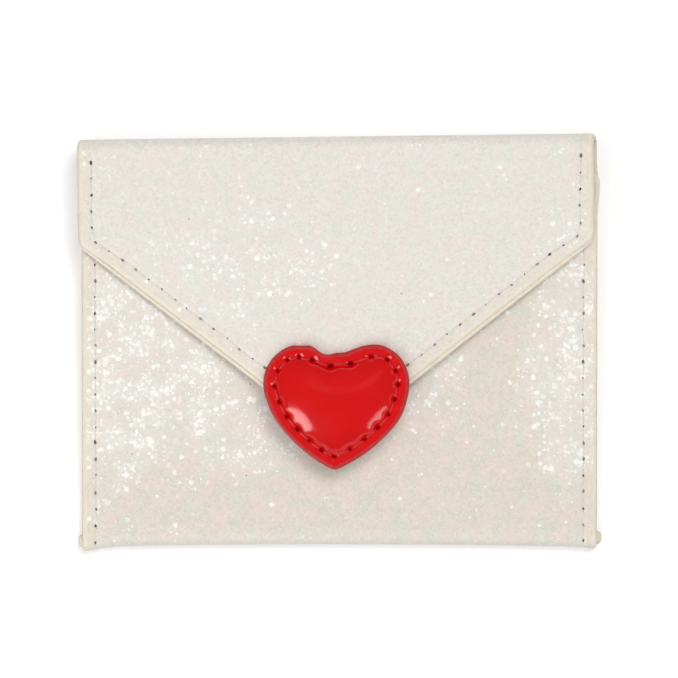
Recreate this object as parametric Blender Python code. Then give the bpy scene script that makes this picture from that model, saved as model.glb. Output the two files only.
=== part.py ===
"""Envelope purse with a snap-closed flap and a padded heart.

The purse lies on its back: X runs across it, Y from the bottom fold to the top fold, Z out of its front.
The origin is on the surface it lies on, below the middle of its outline.
"""
import math

import bmesh
import bpy
from mathutils import Matrix, Vector

MM = 0.001

# Body
BODY_WIDTH = 105.8 * MM
BODY_HEIGHT = 84.2 * MM
BODY_SHIFT = 0.45 * MM
MOUTH_DROP = 7.4 * MM
MOUTH_BELOW_TOP = 3.1 * MM
FRONT_CORNER_RADIUS = 1.6 * MM
MOUTH_OPEN_DEG = 6.0

# Sheets: an outer sheet and a lining, with the glue line between them
OUTER_THICKNESS = 0.6 * MM
LINING_THICKNESS = 0.4 * MM
GUSSET_THICKNESS = 0.4 * MM
SEAT_GAP = 0.3 * MM

# Top fold, which is turned a little from the bottom fold, as on the real purse
TOP_DEPTH = 12.4 * MM
CREASE_RADIUS = 2.5 * MM
FOLD_SKEW_DEG = 0.7

# Flap
FLAP_SHIFT = -0.45 * MM
FLAP_SHOULDER_DROP = 21.9 * MM
FLAP_TIP_DROP = 62.7 * MM
FLAP_TIP_SHIFT = -0.7 * MM
FLAP_SHOULDER_RADIUS = 4.0 * MM
FLAP_TIP_RADIUS = 6.0 * MM

# Gussets: a pair of leaves at each side, folded inwards
GUSSET_MARGIN = 1.0 * MM
GUSSET_DEPTH = 10.0 * MM
GUSSET_START = 12.0 * MM
SEAM_WIDTH = 3.4 * MM
SEAM_START = 1.0 * MM
LEAF_GAP = 0.2 * MM
CREASE_GAP = 0.8 * MM

# Heart
HEART_WIDTH = 29.6 * MM
HEART_HEIGHT = 25.6 * MM
HEART_LOBE_RADIUS = 7.8 * MM
HEART_SIDE_RADIUS = 26.0 * MM
HEART_CLEFT_DEPTH = 2.2 * MM
HEART_TIP_RADIUS = 1.6 * MM
HEART_ABOVE_TIP = 7.3 * MM
HEART_ASIDE = 0.4 * MM
HEART_BACK_THICKNESS = 0.8 * MM
HEART_FACE_THICKNESS = 0.5 * MM
HEART_RIM = 3.0 * MM
HEART_CROWN = 2.4 * MM
HEART_CROWN_REACH = 3.6 * MM

# Press stud
SNAP_ABOVE_HEART = 1.4 * MM
SNAP_ASIDE = -0.36 * MM
SNAP_STANDOFF = 1.0 * MM
CAP_RADIUS = 5.0 * MM
CAP_THICKNESS = 0.7 * MM
POST_RADIUS = 1.1 * MM
CLINCH_RADIUS = 1.7 * MM
CLINCH_THICKNESS = 0.25 * MM
SOCKET_RADIUS = 5.4 * MM
SOCKET_HEIGHT = 2.2 * MM
SOCKET_WALL = 0.35 * MM
SOCKET_LIP = 0.2 * MM
STUD_HEAD_RADIUS = 2.2 * MM
STUD_NECK_RADIUS = 1.8 * MM
STUD_BASE_RADIUS = 4.4 * MM
STUD_BASE_THICKNESS = 0.35 * MM
STUD_HEIGHT = 1.65 * MM
STUD_HEAD_HEIGHT = 0.6 * MM
STUD_LEAD = 0.2 * MM
SPRING_WIRE_RADIUS = 0.18 * MM
SPRING_GAP = 0.1 * MM
SNAP_CLEARANCE = 0.3 * MM
CUT_OVERRUN = 2.0 * MM

SHARP_EDGE_DEG = 35.0
CREASE_STEPS = 5
FOLD_STEPS = 14
FILLET_STEPS = 6
TURN_STEPS = 32
HEART_CLEFT_STEPS = 3
HEART_LOBE_STEPS = 12
HEART_SIDE_STEPS = 7
HEART_TIP_STEPS = 3
CROWN_STEPS = 5
WIRE_STEPS = 8

# Sizes that follow from the ones above
HALF_WIDTH = BODY_WIDTH / 2
STACK = OUTER_THICKNESS + SEAT_GAP + LINING_THICKNESS
LINING_DEPTH = OUTER_THICKNESS + SEAT_GAP
FOLD_INNER_RADIUS = SEAT_GAP / 2 + GUSSET_THICKNESS + SEAT_GAP
FOLD_RADIUS = FOLD_INNER_RADIUS + STACK
SKEW = math.radians(FOLD_SKEW_DEG)
SKEW_RISE = HALF_WIDTH * math.sin(SKEW)
BOTTOM_Y = -(BODY_HEIGHT + SKEW_RISE) / 2 + FOLD_RADIUS
TOP_Y = (BODY_HEIGHT - SKEW_RISE) / 2
CREASE_SHARE = 1 - math.cos(math.pi / 4)
CREASE_INSET = CREASE_SHARE * CREASE_RADIUS
MOUTH_DEPTH = TOP_DEPTH - MOUTH_BELOW_TOP
MOUTH_REACH = math.hypot(TOP_Y - MOUTH_DROP - BOTTOM_Y, MOUTH_DEPTH - FOLD_RADIUS)
FRONT_LENGTH = math.sqrt(MOUTH_REACH ** 2 - FOLD_RADIUS ** 2)
TILT = math.asin((MOUTH_DEPTH - FOLD_RADIUS) / MOUTH_REACH) - math.atan2(FOLD_RADIUS, FRONT_LENGTH)
MOUTH_OPEN = math.radians(MOUTH_OPEN_DEG)
GUSSET_LENGTH = FRONT_LENGTH - GUSSET_MARGIN
LEAF_ANGLE = math.atan2(GUSSET_DEPTH, FRONT_LENGTH)
LEAF_RISE = math.asin(math.tan(TILT / 2) / math.tan(LEAF_ANGLE))
HINGE_X = HALF_WIDTH - SEAM_WIDTH
HEART_DROP = FLAP_TIP_DROP - HEART_ABOVE_TIP
HEART_SHIFT = FLAP_TIP_SHIFT + HEART_ASIDE
SNAP_DROP = HEART_DROP - SNAP_ABOVE_HEART
SNAP_SHIFT = HEART_SHIFT + SNAP_ASIDE

# The flap falls just as much as brings its socket to its standoff above the front
SNAP_REACH = math.hypot(SNAP_DROP - CREASE_RADIUS, CREASE_RADIUS)
SNAP_ABOVE_FRONT = STACK + SEAT_GAP + SOCKET_HEIGHT + SNAP_STANDOFF
CREASE_ABOVE_FRONT = (
    math.cos(TILT) * (TOP_DEPTH - CREASE_RADIUS - FOLD_RADIUS)
    - math.sin(TILT) * (TOP_Y - CREASE_RADIUS - BOTTOM_Y)
    - FOLD_RADIUS
)
FALL = (
    TILT
    + math.atan2(CREASE_RADIUS, SNAP_DROP - CREASE_RADIUS)
    - math.asin((SNAP_ABOVE_FRONT - CREASE_ABOVE_FRONT) / SNAP_REACH)
)

# Frames: each is the place of a joint's axis, with the pieces that turn about it
BODY_FRAME = Matrix.Translation((BODY_SHIFT, 0, 0))
FOLD_FRAME = Matrix.Translation((FLAP_SHIFT, TOP_Y, 0)) @ Matrix.Rotation(SKEW, 4, "Z")
SPINE_FRAME = FOLD_FRAME @ Matrix.Translation((0, -CREASE_INSET, CREASE_INSET))
FLAP_FRAME = FOLD_FRAME @ Matrix.Translation((0, -CREASE_INSET, TOP_DEPTH - CREASE_INSET))
BOTTOM_FRAME = BODY_FRAME @ Matrix.Translation((0, BOTTOM_Y, FOLD_RADIUS))
FRONT_FRAME = BOTTOM_FRAME @ Matrix.Rotation(TILT, 4, "X")
SHEET_FRAME = (
    FOLD_FRAME
    @ Matrix.Translation((0, -CREASE_RADIUS, TOP_DEPTH - CREASE_RADIUS))
    @ Matrix.Rotation(FALL, 4, "X")
    @ Matrix.Translation((0, 0, CREASE_RADIUS))
)


def material(name, color, roughness, metallic=0.0):
    """A plain surface for one kind of piece."""
    result = bpy.data.materials.new(name)
    result.use_nodes = True
    shader = result.node_tree.nodes["Principled BSDF"]
    shader.inputs["Base Color"].default_value = (*color, 1.0)
    shader.inputs["Roughness"].default_value = roughness
    shader.inputs["Metallic"].default_value = metallic
    return result


def axis_empty(name, frame, parent=None, parent_frame=None):
    """An empty on a joint's axis, which carries the pieces that turn about it."""
    empty = bpy.data.objects.new(name, None)
    empty.empty_display_size = CREASE_RADIUS
    bpy.context.scene.collection.objects.link(empty)
    if parent:
        empty.parent = parent
        empty.matrix_local = parent_frame.inverted() @ frame
    else:
        empty.matrix_local = frame
    return empty


def add_piece(name, bm, axis, surface, frame=None, smooth=False):
    """One named solid under its axis; frame says where its mesh lies, when that isn't on the axis itself."""
    if frame is not None:
        bm.transform(frame)
    bmesh.ops.recalc_face_normals(bm, faces=bm.faces)
    if bm.calc_volume(signed=True) < 0:
        bmesh.ops.reverse_faces(bm, faces=bm.faces)
    mesh = bpy.data.meshes.new(name)
    bm.to_mesh(mesh)
    bm.free()
    if smooth:
        mesh.shade_smooth()
        mesh.set_sharp_from_angle(angle=math.radians(SHARP_EDGE_DEG))
    mesh.materials.append(surface)
    piece = bpy.data.objects.new(name, mesh)
    bpy.context.scene.collection.objects.link(piece)
    piece.parent = axis
    return piece


def drill(piece, centre_frame, radius):
    """A round hole straight through a sheet, along the frame's Z."""
    reach = CUT_OVERRUN + STACK
    bm = bmesh.new()
    loops = [circle(radius, height) for height in (-reach, reach)]
    loft(bm, loops)
    cutter = add_piece(piece.name + "_cutter", bm, piece.parent, piece.data.materials[0], centre_frame)
    cutter.hide_render = True
    cutter.display_type = "WIRE"
    cut = piece.modifiers.new("hole", "BOOLEAN")
    cut.operation = "DIFFERENCE"
    cut.object = cutter


def circle(radius, height, steps=TURN_STEPS):
    """The points of a level circle about Z."""
    turns = [2 * math.pi * i / steps for i in range(steps)]
    return [Vector((radius * math.cos(a), radius * math.sin(a), height)) for a in turns]


def loft(bm, loops, ring=False):
    """Faces from each closed loop to the next; the ends get caps, or meet each other in a ring."""
    rows = [[bm.verts.new(point) for point in loop] for loop in loops]
    pairs = list(zip(rows, rows[1:]))
    if ring:
        pairs.append((rows[-1], rows[0]))
    else:
        bm.faces.new(list(reversed(rows[0])))
        bm.faces.new(rows[-1])
    for low, high in pairs:
        for i, start in enumerate(low):
            after = (i + 1) % len(low)
            bm.faces.new((start, low[after], high[after], high[i]))


def turned(profile, ring=True):
    """A turned solid: profile lists (radius, height) pairs around its section."""
    bm = bmesh.new()
    loft(bm, [circle(radius, height) for radius, height in profile], ring)
    return bm


def swing(centre, radius, start, end, steps):
    """Points along the shorter arc from one direction to another, without the last one."""
    first = math.atan2(start.y, start.x)
    turn = math.remainder(math.atan2(end.y, end.x) - first, 2 * math.pi)
    angles = [first + turn * i / steps for i in range(steps)]
    return [centre + Vector((math.cos(a), math.sin(a))) * radius for a in angles]


def fillet(before, corner, after, radius, steps=FILLET_STEPS):
    """The arc that rounds one corner of an outline."""
    into = (before - corner).normalized()
    out = (after - corner).normalized()
    half = into.angle(out) / 2
    centre = corner + (into + out).normalized() * (radius / math.sin(half))
    start = corner + into * (radius / math.tan(half))
    end = corner + out * (radius / math.tan(half))
    return swing(centre, radius, start - centre, end - centre, steps) + [end]


def plate(outline, low, high):
    """A flat outline between two heights."""
    bm = bmesh.new()
    loft(bm, [[Vector((x, y, height)) for x, y in outline] for height in (low, high)])
    return bm


def arc(centre_y, centre_z, radius, start, end, steps, towards=1):
    """(y, z) points on an arc; angle 0 is straight down, and a quarter turn points towards +Y or -Y."""
    angles = [start + (end - start) * i / steps for i in range(steps + 1)]
    return [(centre_y + towards * radius * math.sin(a), centre_z - radius * math.cos(a)) for a in angles]


def rows_along(frame, points):
    """Each (y, z) point as a row straight across the purse, from its left end to its right one."""
    return [[frame @ Vector((x, y, z)) for x in (-HALF_WIDTH, HALF_WIDTH)] for y, z in points]


def bent_sheet(outer_rows, inner_rows, outer_tail=(), inner_tail=()):
    """A sheet whose two faces follow rows of points; the tail is the outline that goes on from the last row."""
    bm = bmesh.new()
    faces_of = []
    for rows, tail in ((outer_rows, outer_tail), (inner_rows, inner_tail)):
        grid = [[bm.verts.new(point) for point in row] for row in rows]
        end = [bm.verts.new(point) for point in tail]
        for near, far in zip(grid, grid[1:]):
            bm.faces.new((near[0], near[1], far[1], far[0]))
        if end:
            bm.faces.new([grid[-1][1], grid[-1][0], *end])
        left = [row[0] for row in grid]
        right = [row[1] for row in grid]
        faces_of.append(left + end + right[::-1])
    outer, inner = faces_of
    for i, start in enumerate(outer):
        after = (i + 1) % len(outer)
        bm.faces.new((start, outer[after], inner[after], inner[i]))
    return bm


def layer_depths(layer):
    """How deep a layer's two faces lie below the outside of the sheets."""
    if layer == "outer":
        return 0.0, OUTER_THICKNESS
    return LINING_DEPTH, STACK


def crease_gap_angle(layer):
    """Half of the gap between two pieces in the middle of a crease, as an angle."""
    return SEAT_GAP / 2 / (CREASE_RADIUS - layer_depths(layer)[0])


def back_sheet(layer):
    """The back with the bottom fold at one end and half of the first top crease at the other."""
    depths = layer_depths(layer)
    fold_end = math.pi - TILT - MOUTH_OPEN - SEAT_GAP / (FOLD_RADIUS - depths[0])
    crease_end = math.pi / 4 - crease_gap_angle(layer)
    faces = []
    for depth in depths:
        bottom = arc(BOTTOM_Y, FOLD_RADIUS, FOLD_RADIUS - depth, fold_end, 0, FOLD_STEPS, towards=-1)
        top = arc(-CREASE_RADIUS, CREASE_RADIUS, CREASE_RADIUS - depth, 0, crease_end, CREASE_STEPS)
        faces.append(rows_along(BODY_FRAME, bottom) + rows_along(FOLD_FRAME, top))
    return bent_sheet(*faces)


def spine_sheet(layer):
    """The upright part of the top fold, with half a crease at each edge."""
    gap_angle = crease_gap_angle(layer)
    faces = []
    for depth in layer_depths(layer):
        radius = CREASE_RADIUS - depth
        low = arc(-CREASE_RADIUS, CREASE_RADIUS, radius, math.pi / 4 + gap_angle, math.pi / 2, CREASE_STEPS)
        high_z = TOP_DEPTH - CREASE_RADIUS
        high = arc(-CREASE_RADIUS, high_z, radius, math.pi / 2, 3 * math.pi / 4 - gap_angle, CREASE_STEPS)
        faces.append(rows_along(FOLD_FRAME, low + high))
    return bent_sheet(*faces)


def flap_outline():
    """The flap below its crease, seen flat: shoulders, then the point."""
    def at(across, drop):
        return Vector((across, (CREASE_RADIUS - drop) / math.cos(FALL)))

    root_left = at(-HALF_WIDTH, CREASE_RADIUS)
    root_right = at(HALF_WIDTH, CREASE_RADIUS)
    left = at(-HALF_WIDTH, FLAP_SHOULDER_DROP)
    right = at(HALF_WIDTH, FLAP_SHOULDER_DROP)
    tip = at(FLAP_TIP_SHIFT, FLAP_TIP_DROP)
    return (
        fillet(root_left, left, tip, FLAP_SHOULDER_RADIUS)
        + fillet(left, tip, right, FLAP_TIP_RADIUS)
        + fillet(tip, right, root_right, FLAP_SHOULDER_RADIUS)
    )


def flap_sheet(layer):
    """The flap: half of the upper crease, then the flat sheet to its point."""
    crease_start = 3 * math.pi / 4 + crease_gap_angle(layer)
    crease_end = math.pi + FALL
    centre_z = TOP_DEPTH - CREASE_RADIUS
    faces = []
    tails = []
    for depth in layer_depths(layer):
        radius = CREASE_RADIUS - depth
        crease = arc(-CREASE_RADIUS, centre_z, radius, crease_start, crease_end, CREASE_STEPS)
        faces.append(rows_along(FOLD_FRAME, crease))
        tails.append([SHEET_FRAME @ Vector((x, y, -depth)) for x, y in flap_outline()])
    return bent_sheet(*faces, *tails)


def front_sheet(layer):
    """The front, flat, with its two mouth corners rounded."""
    low_left = Vector((-HALF_WIDTH, 0))
    low_right = Vector((HALF_WIDTH, 0))
    left = Vector((-HALF_WIDTH, FRONT_LENGTH))
    right = Vector((HALF_WIDTH, FRONT_LENGTH))
    outline = [
        low_left,
        low_right,
        *fillet(low_right, right, left, FRONT_CORNER_RADIUS),
        *fillet(right, left, low_left, FRONT_CORNER_RADIUS),
    ]
    top, bottom = layer_depths(layer)
    return plate(outline, FOLD_RADIUS - bottom, FOLD_RADIUS - top)


def seam_strip(side, facing):
    """The gusset's margin that is sewn to the back (facing -1) or to the front (facing 1)."""
    outside = side * HALF_WIDTH
    inside = side * (HINGE_X + LEAF_GAP)
    outline = [(outside, SEAM_START), (inside, SEAM_START), (inside, GUSSET_LENGTH), (outside, GUSSET_LENGTH)]
    near = facing * SEAT_GAP / 2
    far = facing * (SEAT_GAP / 2 + GUSSET_THICKNESS)
    return plate(outline, min(near, far), max(near, far))


def gusset_leaf(side, facing):
    """One leaf, in its own plane: Y along its seam, X towards the crease, and its thickness on the panel's side."""
    def crease_at(along):
        return along * math.tan(LEAF_ANGLE) - CREASE_GAP / math.cos(LEAF_ANGLE)

    outline = [
        (LEAF_GAP, GUSSET_START),
        (crease_at(GUSSET_START), GUSSET_START),
        (crease_at(GUSSET_LENGTH), GUSSET_LENGTH),
        (LEAF_GAP, GUSSET_LENGTH),
    ]
    far = -side * facing * GUSSET_THICKNESS
    return plate(outline, min(0, far), max(0, far))


def leaf_frame(side, facing):
    """A leaf's plane at rest, which rises from its seam to the crease in the middle of the wedge."""
    panel = FRONT_FRAME if facing > 0 else BOTTOM_FRAME
    across = Vector((-side * math.cos(LEAF_RISE), 0, -facing * math.sin(LEAF_RISE)))
    along = Vector((0, 1, 0))
    axes = Matrix((across, along, across.cross(along))).transposed().to_4x4()
    return panel @ Matrix.Translation((side * HINGE_X, 0, 0)) @ axes


def crease_frame(side):
    """The crease between two leaves: Y along it, starting at the apex below."""
    return leaf_frame(side, -1) @ Matrix.Rotation(-LEAF_ANGLE, 4, "Z")


def heart_outline(inset):
    """A heart of arcs, set in by a distance: cleft, lobe, side and tip on the right, then the same on the left."""
    lobe = Vector((HEART_WIDTH / 2 - HEART_LOBE_RADIUS, HEART_HEIGHT / 2 - HEART_LOBE_RADIUS))
    cleft_y = HEART_HEIGHT / 2 - HEART_CLEFT_DEPTH
    rise = cleft_y - lobe.y
    cleft_radius = (rise ** 2 + lobe.x ** 2 - HEART_LOBE_RADIUS ** 2) / (2 * (HEART_LOBE_RADIUS - rise))
    cleft = Vector((0, cleft_y + cleft_radius))

    tip = Vector((0, -HEART_HEIGHT / 2 + HEART_TIP_RADIUS))
    to_tip = tip - lobe
    near = HEART_SIDE_RADIUS - HEART_LOBE_RADIUS
    far = HEART_SIDE_RADIUS - HEART_TIP_RADIUS
    along = (near ** 2 - far ** 2 + to_tip.length_squared) / (2 * to_tip.length)
    beside = Vector((to_tip.y, -to_tip.x)).normalized() * math.sqrt(near ** 2 - along ** 2)
    side = lobe + to_tip.normalized() * along + beside

    inner_far = HEART_SIDE_RADIUS - inset - HEART_TIP_RADIUS
    tip_centre = Vector((0, side.y - math.sqrt(inner_far ** 2 - side.x ** 2)))

    half = swing(cleft, cleft_radius + inset, Vector((0, -1)), lobe - cleft, HEART_CLEFT_STEPS)
    quarter = HEART_LOBE_STEPS // 2
    half += swing(lobe, HEART_LOBE_RADIUS - inset, cleft - lobe, Vector((1, 1)), quarter)
    half += swing(lobe, HEART_LOBE_RADIUS - inset, Vector((1, 1)), lobe - side, quarter)
    half += swing(side, HEART_SIDE_RADIUS - inset, lobe - side, tip_centre - side, HEART_SIDE_STEPS)
    half += swing(tip_centre, HEART_TIP_RADIUS, tip_centre - side, Vector((0, -1)), HEART_TIP_STEPS)
    point = tip_centre - Vector((0, HEART_TIP_RADIUS))
    mirrored = [Vector((-p.x, p.y)) for p in reversed(half[1:])]
    return half + [point] + mirrored


def heart_loop(inset, height):
    """A heart-shaped loop at one height."""
    return [Vector((p.x, p.y, height)) for p in heart_outline(inset)]


def crown(rim, base, height):
    """Loops that rise from a rim to the top of the padding."""
    loops = []
    for i in range(CROWN_STEPS + 1):
        share = i / CROWN_STEPS
        inset = rim + HEART_CROWN_REACH * share
        loops.append(heart_loop(inset, base + height * math.sin(share * math.pi / 2)))
    return loops


def add_heart(axis, local, surfaces):
    """Backing, padding and glossy face, stacked on the flap."""
    frame = local @ Matrix.Translation((HEART_SHIFT, CREASE_RADIUS - HEART_DROP, 0))
    back_low = SEAT_GAP
    back_high = back_low + HEART_BACK_THICKNESS
    bm = bmesh.new()
    loft(bm, [heart_loop(0, back_low), heart_loop(0, back_high)])
    backing = add_piece("heart_back", bm, axis, surfaces["backing"], frame)
    drill(backing, local @ snap_offset(), CAP_RADIUS + SEAT_GAP)

    face_low = back_high + SEAT_GAP
    face_high = face_low + HEART_FACE_THICKNESS
    hollow_rim = HEART_RIM + HEART_FACE_THICKNESS
    bm = bmesh.new()
    hollow = crown(hollow_rim, face_low, HEART_CROWN)
    outside = crown(HEART_RIM, face_high, HEART_CROWN)
    loft(bm, hollow[::-1] + [heart_loop(0, face_low), heart_loop(0, face_high)] + outside)
    add_piece("heart_face", bm, axis, surfaces["patent"], frame, smooth=True)

    bm = bmesh.new()
    loft(bm, crown(hollow_rim + SEAT_GAP, face_low, HEART_CROWN - SEAT_GAP))
    add_piece("heart_pad", bm, axis, surfaces["foam"], frame, smooth=True)


def snap_offset():
    """The press stud's place on the flap's sheet."""
    return Matrix.Translation((SNAP_SHIFT, CREASE_RADIUS - SNAP_DROP, 0))


def add_snap_top(axis, local, metal, steel):
    """Cap, socket and wire spring, on the flap; heights are counted from the flap's outside, downwards."""
    frame = local @ snap_offset()
    under = -STACK - SEAT_GAP
    plate_low = under - SOCKET_WALL
    clinch_high = plate_low - SEAT_GAP
    clinch_low = clinch_high - CLINCH_THICKNESS
    cap_low = SEAT_GAP
    cap_profile = [
        (CLINCH_RADIUS, clinch_low),
        (CLINCH_RADIUS, clinch_high),
        (POST_RADIUS, clinch_high),
        (POST_RADIUS, cap_low),
        (CAP_RADIUS, cap_low),
        (CAP_RADIUS, cap_low + CAP_THICKNESS / 2),
        (CAP_RADIUS - CAP_THICKNESS, cap_low + CAP_THICKNESS),
    ]
    add_piece("snap_cap", turned(cap_profile, ring=False), axis, metal, frame, smooth=True)

    mouth = STUD_HEAD_RADIUS + SNAP_CLEARANCE
    wire_centre = mouth + SPRING_WIRE_RADIUS
    groove = wire_centre + SPRING_WIRE_RADIUS + SEAT_GAP
    low = under - SOCKET_HEIGHT
    lip = low + SOCKET_LIP
    bore = POST_RADIUS + SEAT_GAP
    socket_profile = [
        (bore, under),
        (SOCKET_RADIUS, under),
        (SOCKET_RADIUS, plate_low),
        (groove + 2 * SOCKET_WALL, plate_low),
        (groove + SOCKET_WALL, low),
        (mouth, low),
        (mouth, lip),
        (groove, lip),
        (groove, plate_low),
        (bore, plate_low),
    ]
    add_piece("snap_socket", turned(socket_profile), axis, metal, frame, smooth=True)

    wire_height = lip + SPRING_GAP + SPRING_WIRE_RADIUS
    wire = [
        (
            wire_centre + SPRING_WIRE_RADIUS * math.cos(2 * math.pi * i / WIRE_STEPS),
            wire_height + SPRING_WIRE_RADIUS * math.sin(2 * math.pi * i / WIRE_STEPS),
        )
        for i in range(WIRE_STEPS)
    ]
    add_piece("snap_spring", turned(wire), axis, steel, frame, smooth=True)


def stud_frame():
    """The stud's place in the front's frame, below the socket's middle, on the front's outside."""
    socket = FRONT_FRAME.inverted() @ SHEET_FRAME @ snap_offset() @ Vector((0, 0, -STACK - SEAT_GAP - SOCKET_HEIGHT))
    return Matrix.Translation((socket.x, socket.y, FOLD_RADIUS))


def add_snap_bottom(axis, metal):
    """Stud on the front and its post, whose head is inside the purse."""
    frame = stud_frame()
    bore = POST_RADIUS + SEAT_GAP
    base_high = SEAT_GAP + STUD_BASE_THICKNESS
    top = SEAT_GAP + STUD_HEIGHT
    head_low = top - STUD_HEAD_HEIGHT
    roof = top - STUD_BASE_THICKNESS / 2
    stud_profile = [
        (bore, roof),
        (bore, SEAT_GAP),
        (STUD_BASE_RADIUS, SEAT_GAP),
        (STUD_BASE_RADIUS, base_high),
        (STUD_NECK_RADIUS, base_high),
        (STUD_NECK_RADIUS, head_low),
        (STUD_HEAD_RADIUS, head_low + STUD_LEAD),
        (STUD_HEAD_RADIUS, top - STUD_LEAD),
        (STUD_NECK_RADIUS, top),
    ]
    add_piece("snap_stud", turned(stud_profile, ring=False), axis, metal, frame, smooth=True)

    head_high = -STACK - SEAT_GAP
    post_profile = [
        (STUD_BASE_RADIUS - STUD_BASE_THICKNESS, head_high - STUD_BASE_THICKNESS),
        (STUD_BASE_RADIUS, head_high - STUD_BASE_THICKNESS / 2),
        (STUD_BASE_RADIUS, head_high),
        (POST_RADIUS, head_high),
        (POST_RADIUS, roof - SEAT_GAP),
    ]
    add_piece("snap_post", turned(post_profile, ring=False), axis, metal, frame, smooth=True)
    return frame, bore


def add_gussets(back, front, frames, surface):
    """At each side: a margin on the back, two leaves, and a margin on the front."""
    for side, word in ((-1, "left"), (1, "right")):
        back_margin = frames["back"].inverted() @ BOTTOM_FRAME
        add_piece(f"{word}_gusset_back_seam", seam_strip(side, -1), back, surface, back_margin)
        add_piece(f"{word}_gusset_front_seam", seam_strip(side, 1), front, surface)

        rear_frame = leaf_frame(side, -1)
        fold_frame = crease_frame(side)
        rear = axis_empty(f"{word}_rear_leaf_axis", rear_frame, back, frames["back"])
        fold = axis_empty(f"{word}_crease_axis", fold_frame, rear, rear_frame)
        add_piece(f"{word}_gusset_rear_leaf", gusset_leaf(side, -1), rear, surface)
        front_leaf_local = fold_frame.inverted() @ leaf_frame(side, 1)
        add_piece(f"{word}_gusset_front_leaf", gusset_leaf(side, 1), fold, surface, front_leaf_local)


def build():
    for old in list(bpy.data.objects):
        bpy.data.objects.remove(old)

    glitter = material("glitter_sheet", (0.80, 0.74, 0.66), 0.45)
    lining = material("cream_lining", (0.84, 0.77, 0.66), 0.60)
    gusset = material("cream_gusset", (0.80, 0.72, 0.60), 0.55)
    metal = material("plated_metal", (0.80, 0.74, 0.62), 0.25, 1.0)
    steel = material("spring_steel", (0.62, 0.62, 0.63), 0.30, 1.0)
    heart_surfaces = {
        "patent": material("red_patent", (0.66, 0.01, 0.012), 0.12),
        "backing": material("red_backing", (0.48, 0.02, 0.02), 0.50),
        "foam": material("foam", (0.85, 0.83, 0.78), 0.90),
    }

    frames = {"back": BODY_FRAME, "spine": SPINE_FRAME, "flap": FLAP_FRAME, "front": FRONT_FRAME}
    back = axis_empty("back_axis", BODY_FRAME)
    spine = axis_empty("spine_axis", SPINE_FRAME, back, BODY_FRAME)
    flap = axis_empty("flap_axis", FLAP_FRAME, spine, SPINE_FRAME)
    front = axis_empty("front_axis", FRONT_FRAME, back, BODY_FRAME)

    to_back = BODY_FRAME.inverted()
    to_spine = SPINE_FRAME.inverted()
    to_flap = FLAP_FRAME.inverted()
    add_piece("back_panel", back_sheet("outer"), back, glitter, to_back, smooth=True)
    add_piece("back_lining", back_sheet("lining"), back, lining, to_back, smooth=True)
    add_piece("top_fold", spine_sheet("outer"), spine, glitter, to_spine, smooth=True)
    add_piece("top_fold_lining", spine_sheet("lining"), spine, lining, to_spine, smooth=True)

    sheet_local = to_flap @ SHEET_FRAME
    for name, layer, surface in (("flap_panel", "outer", glitter), ("flap_lining", "lining", lining)):
        sheet = add_piece(name, flap_sheet(layer), flap, surface, to_flap, smooth=True)
        drill(sheet, sheet_local @ snap_offset(), POST_RADIUS + SEAT_GAP)
    add_heart(flap, sheet_local, heart_surfaces)
    add_snap_top(flap, sheet_local, metal, steel)

    stud_place, bore = add_snap_bottom(front, metal)
    for name, layer, surface in (("front_panel", "outer", glitter), ("front_lining", "lining", lining)):
        sheet = add_piece(name, front_sheet(layer), front, surface)
        drill(sheet, stud_place, bore)
    add_gussets(back, front, frames, gusset)


build()
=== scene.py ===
"""Small envelope purse in glitter-coated imitation leather, with a padded patent heart on its flap.

Everything is worked out in millimetres and put into metres when a mesh is made. The outer sheet and its
lining are one strip each, so each point of them has a place across the strip and a way along it, and one map
bends the strip round the bottom fold and the top fold.
"""
import math

import bmesh
import bpy
import numpy as np
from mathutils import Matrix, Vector


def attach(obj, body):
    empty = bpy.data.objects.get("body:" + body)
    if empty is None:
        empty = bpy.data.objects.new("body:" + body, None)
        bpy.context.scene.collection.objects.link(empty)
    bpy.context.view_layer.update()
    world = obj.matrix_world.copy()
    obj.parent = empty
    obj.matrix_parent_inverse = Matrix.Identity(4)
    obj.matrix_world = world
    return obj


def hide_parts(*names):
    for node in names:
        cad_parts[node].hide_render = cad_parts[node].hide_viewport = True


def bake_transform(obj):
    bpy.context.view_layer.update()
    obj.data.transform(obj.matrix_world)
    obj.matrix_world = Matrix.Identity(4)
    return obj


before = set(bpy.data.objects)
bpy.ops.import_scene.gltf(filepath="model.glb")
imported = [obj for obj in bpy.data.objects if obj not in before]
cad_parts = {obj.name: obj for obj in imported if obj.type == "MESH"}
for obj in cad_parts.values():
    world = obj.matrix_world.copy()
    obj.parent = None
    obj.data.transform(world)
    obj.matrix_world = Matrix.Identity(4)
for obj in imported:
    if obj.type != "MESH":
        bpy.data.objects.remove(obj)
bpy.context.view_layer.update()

MM = 0.001

# The purse's own sizes in millimetres, as in its source. A is across the flap and B along it: 0 at the upper
# crease, and falling towards the flap's point.
HALF_WIDTH = 52.9
BODY_SHIFT = 0.45
TOP_DEPTH = 12.4
CREASE_RADIUS = 2.5
FOLD_RADIUS = 2.15
SKEW = math.radians(0.7)
BOTTOM_Y = -40.273
TOP_Y = 41.777
FRONT_LENGTH = 74.96
TILT = math.radians(3.83)
FALL = math.radians(1.568)
FLAP_SHIFT = -0.45
SHOULDER_B = (CREASE_RADIUS - 21.9) / math.cos(FALL)
TIP_B = (CREASE_RADIUS - 62.7) / math.cos(FALL)
TIP_A = -0.7
SHOULDER_RADIUS = 4.0
TIP_RADIUS = 6.0
MOUTH_CORNER_RADIUS = 1.6
HINGE_X = 49.5
LEAF_ANGLE = math.radians(7.5986)
LEAF_RISE = math.asin(math.tan(TILT / 2) / math.tan(LEAF_ANGLE))
HEART_A = -0.3
HEART_B = CREASE_RADIUS - 55.4
HEART_WIDTH = 29.6
HEART_HEIGHT = 25.6

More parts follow.
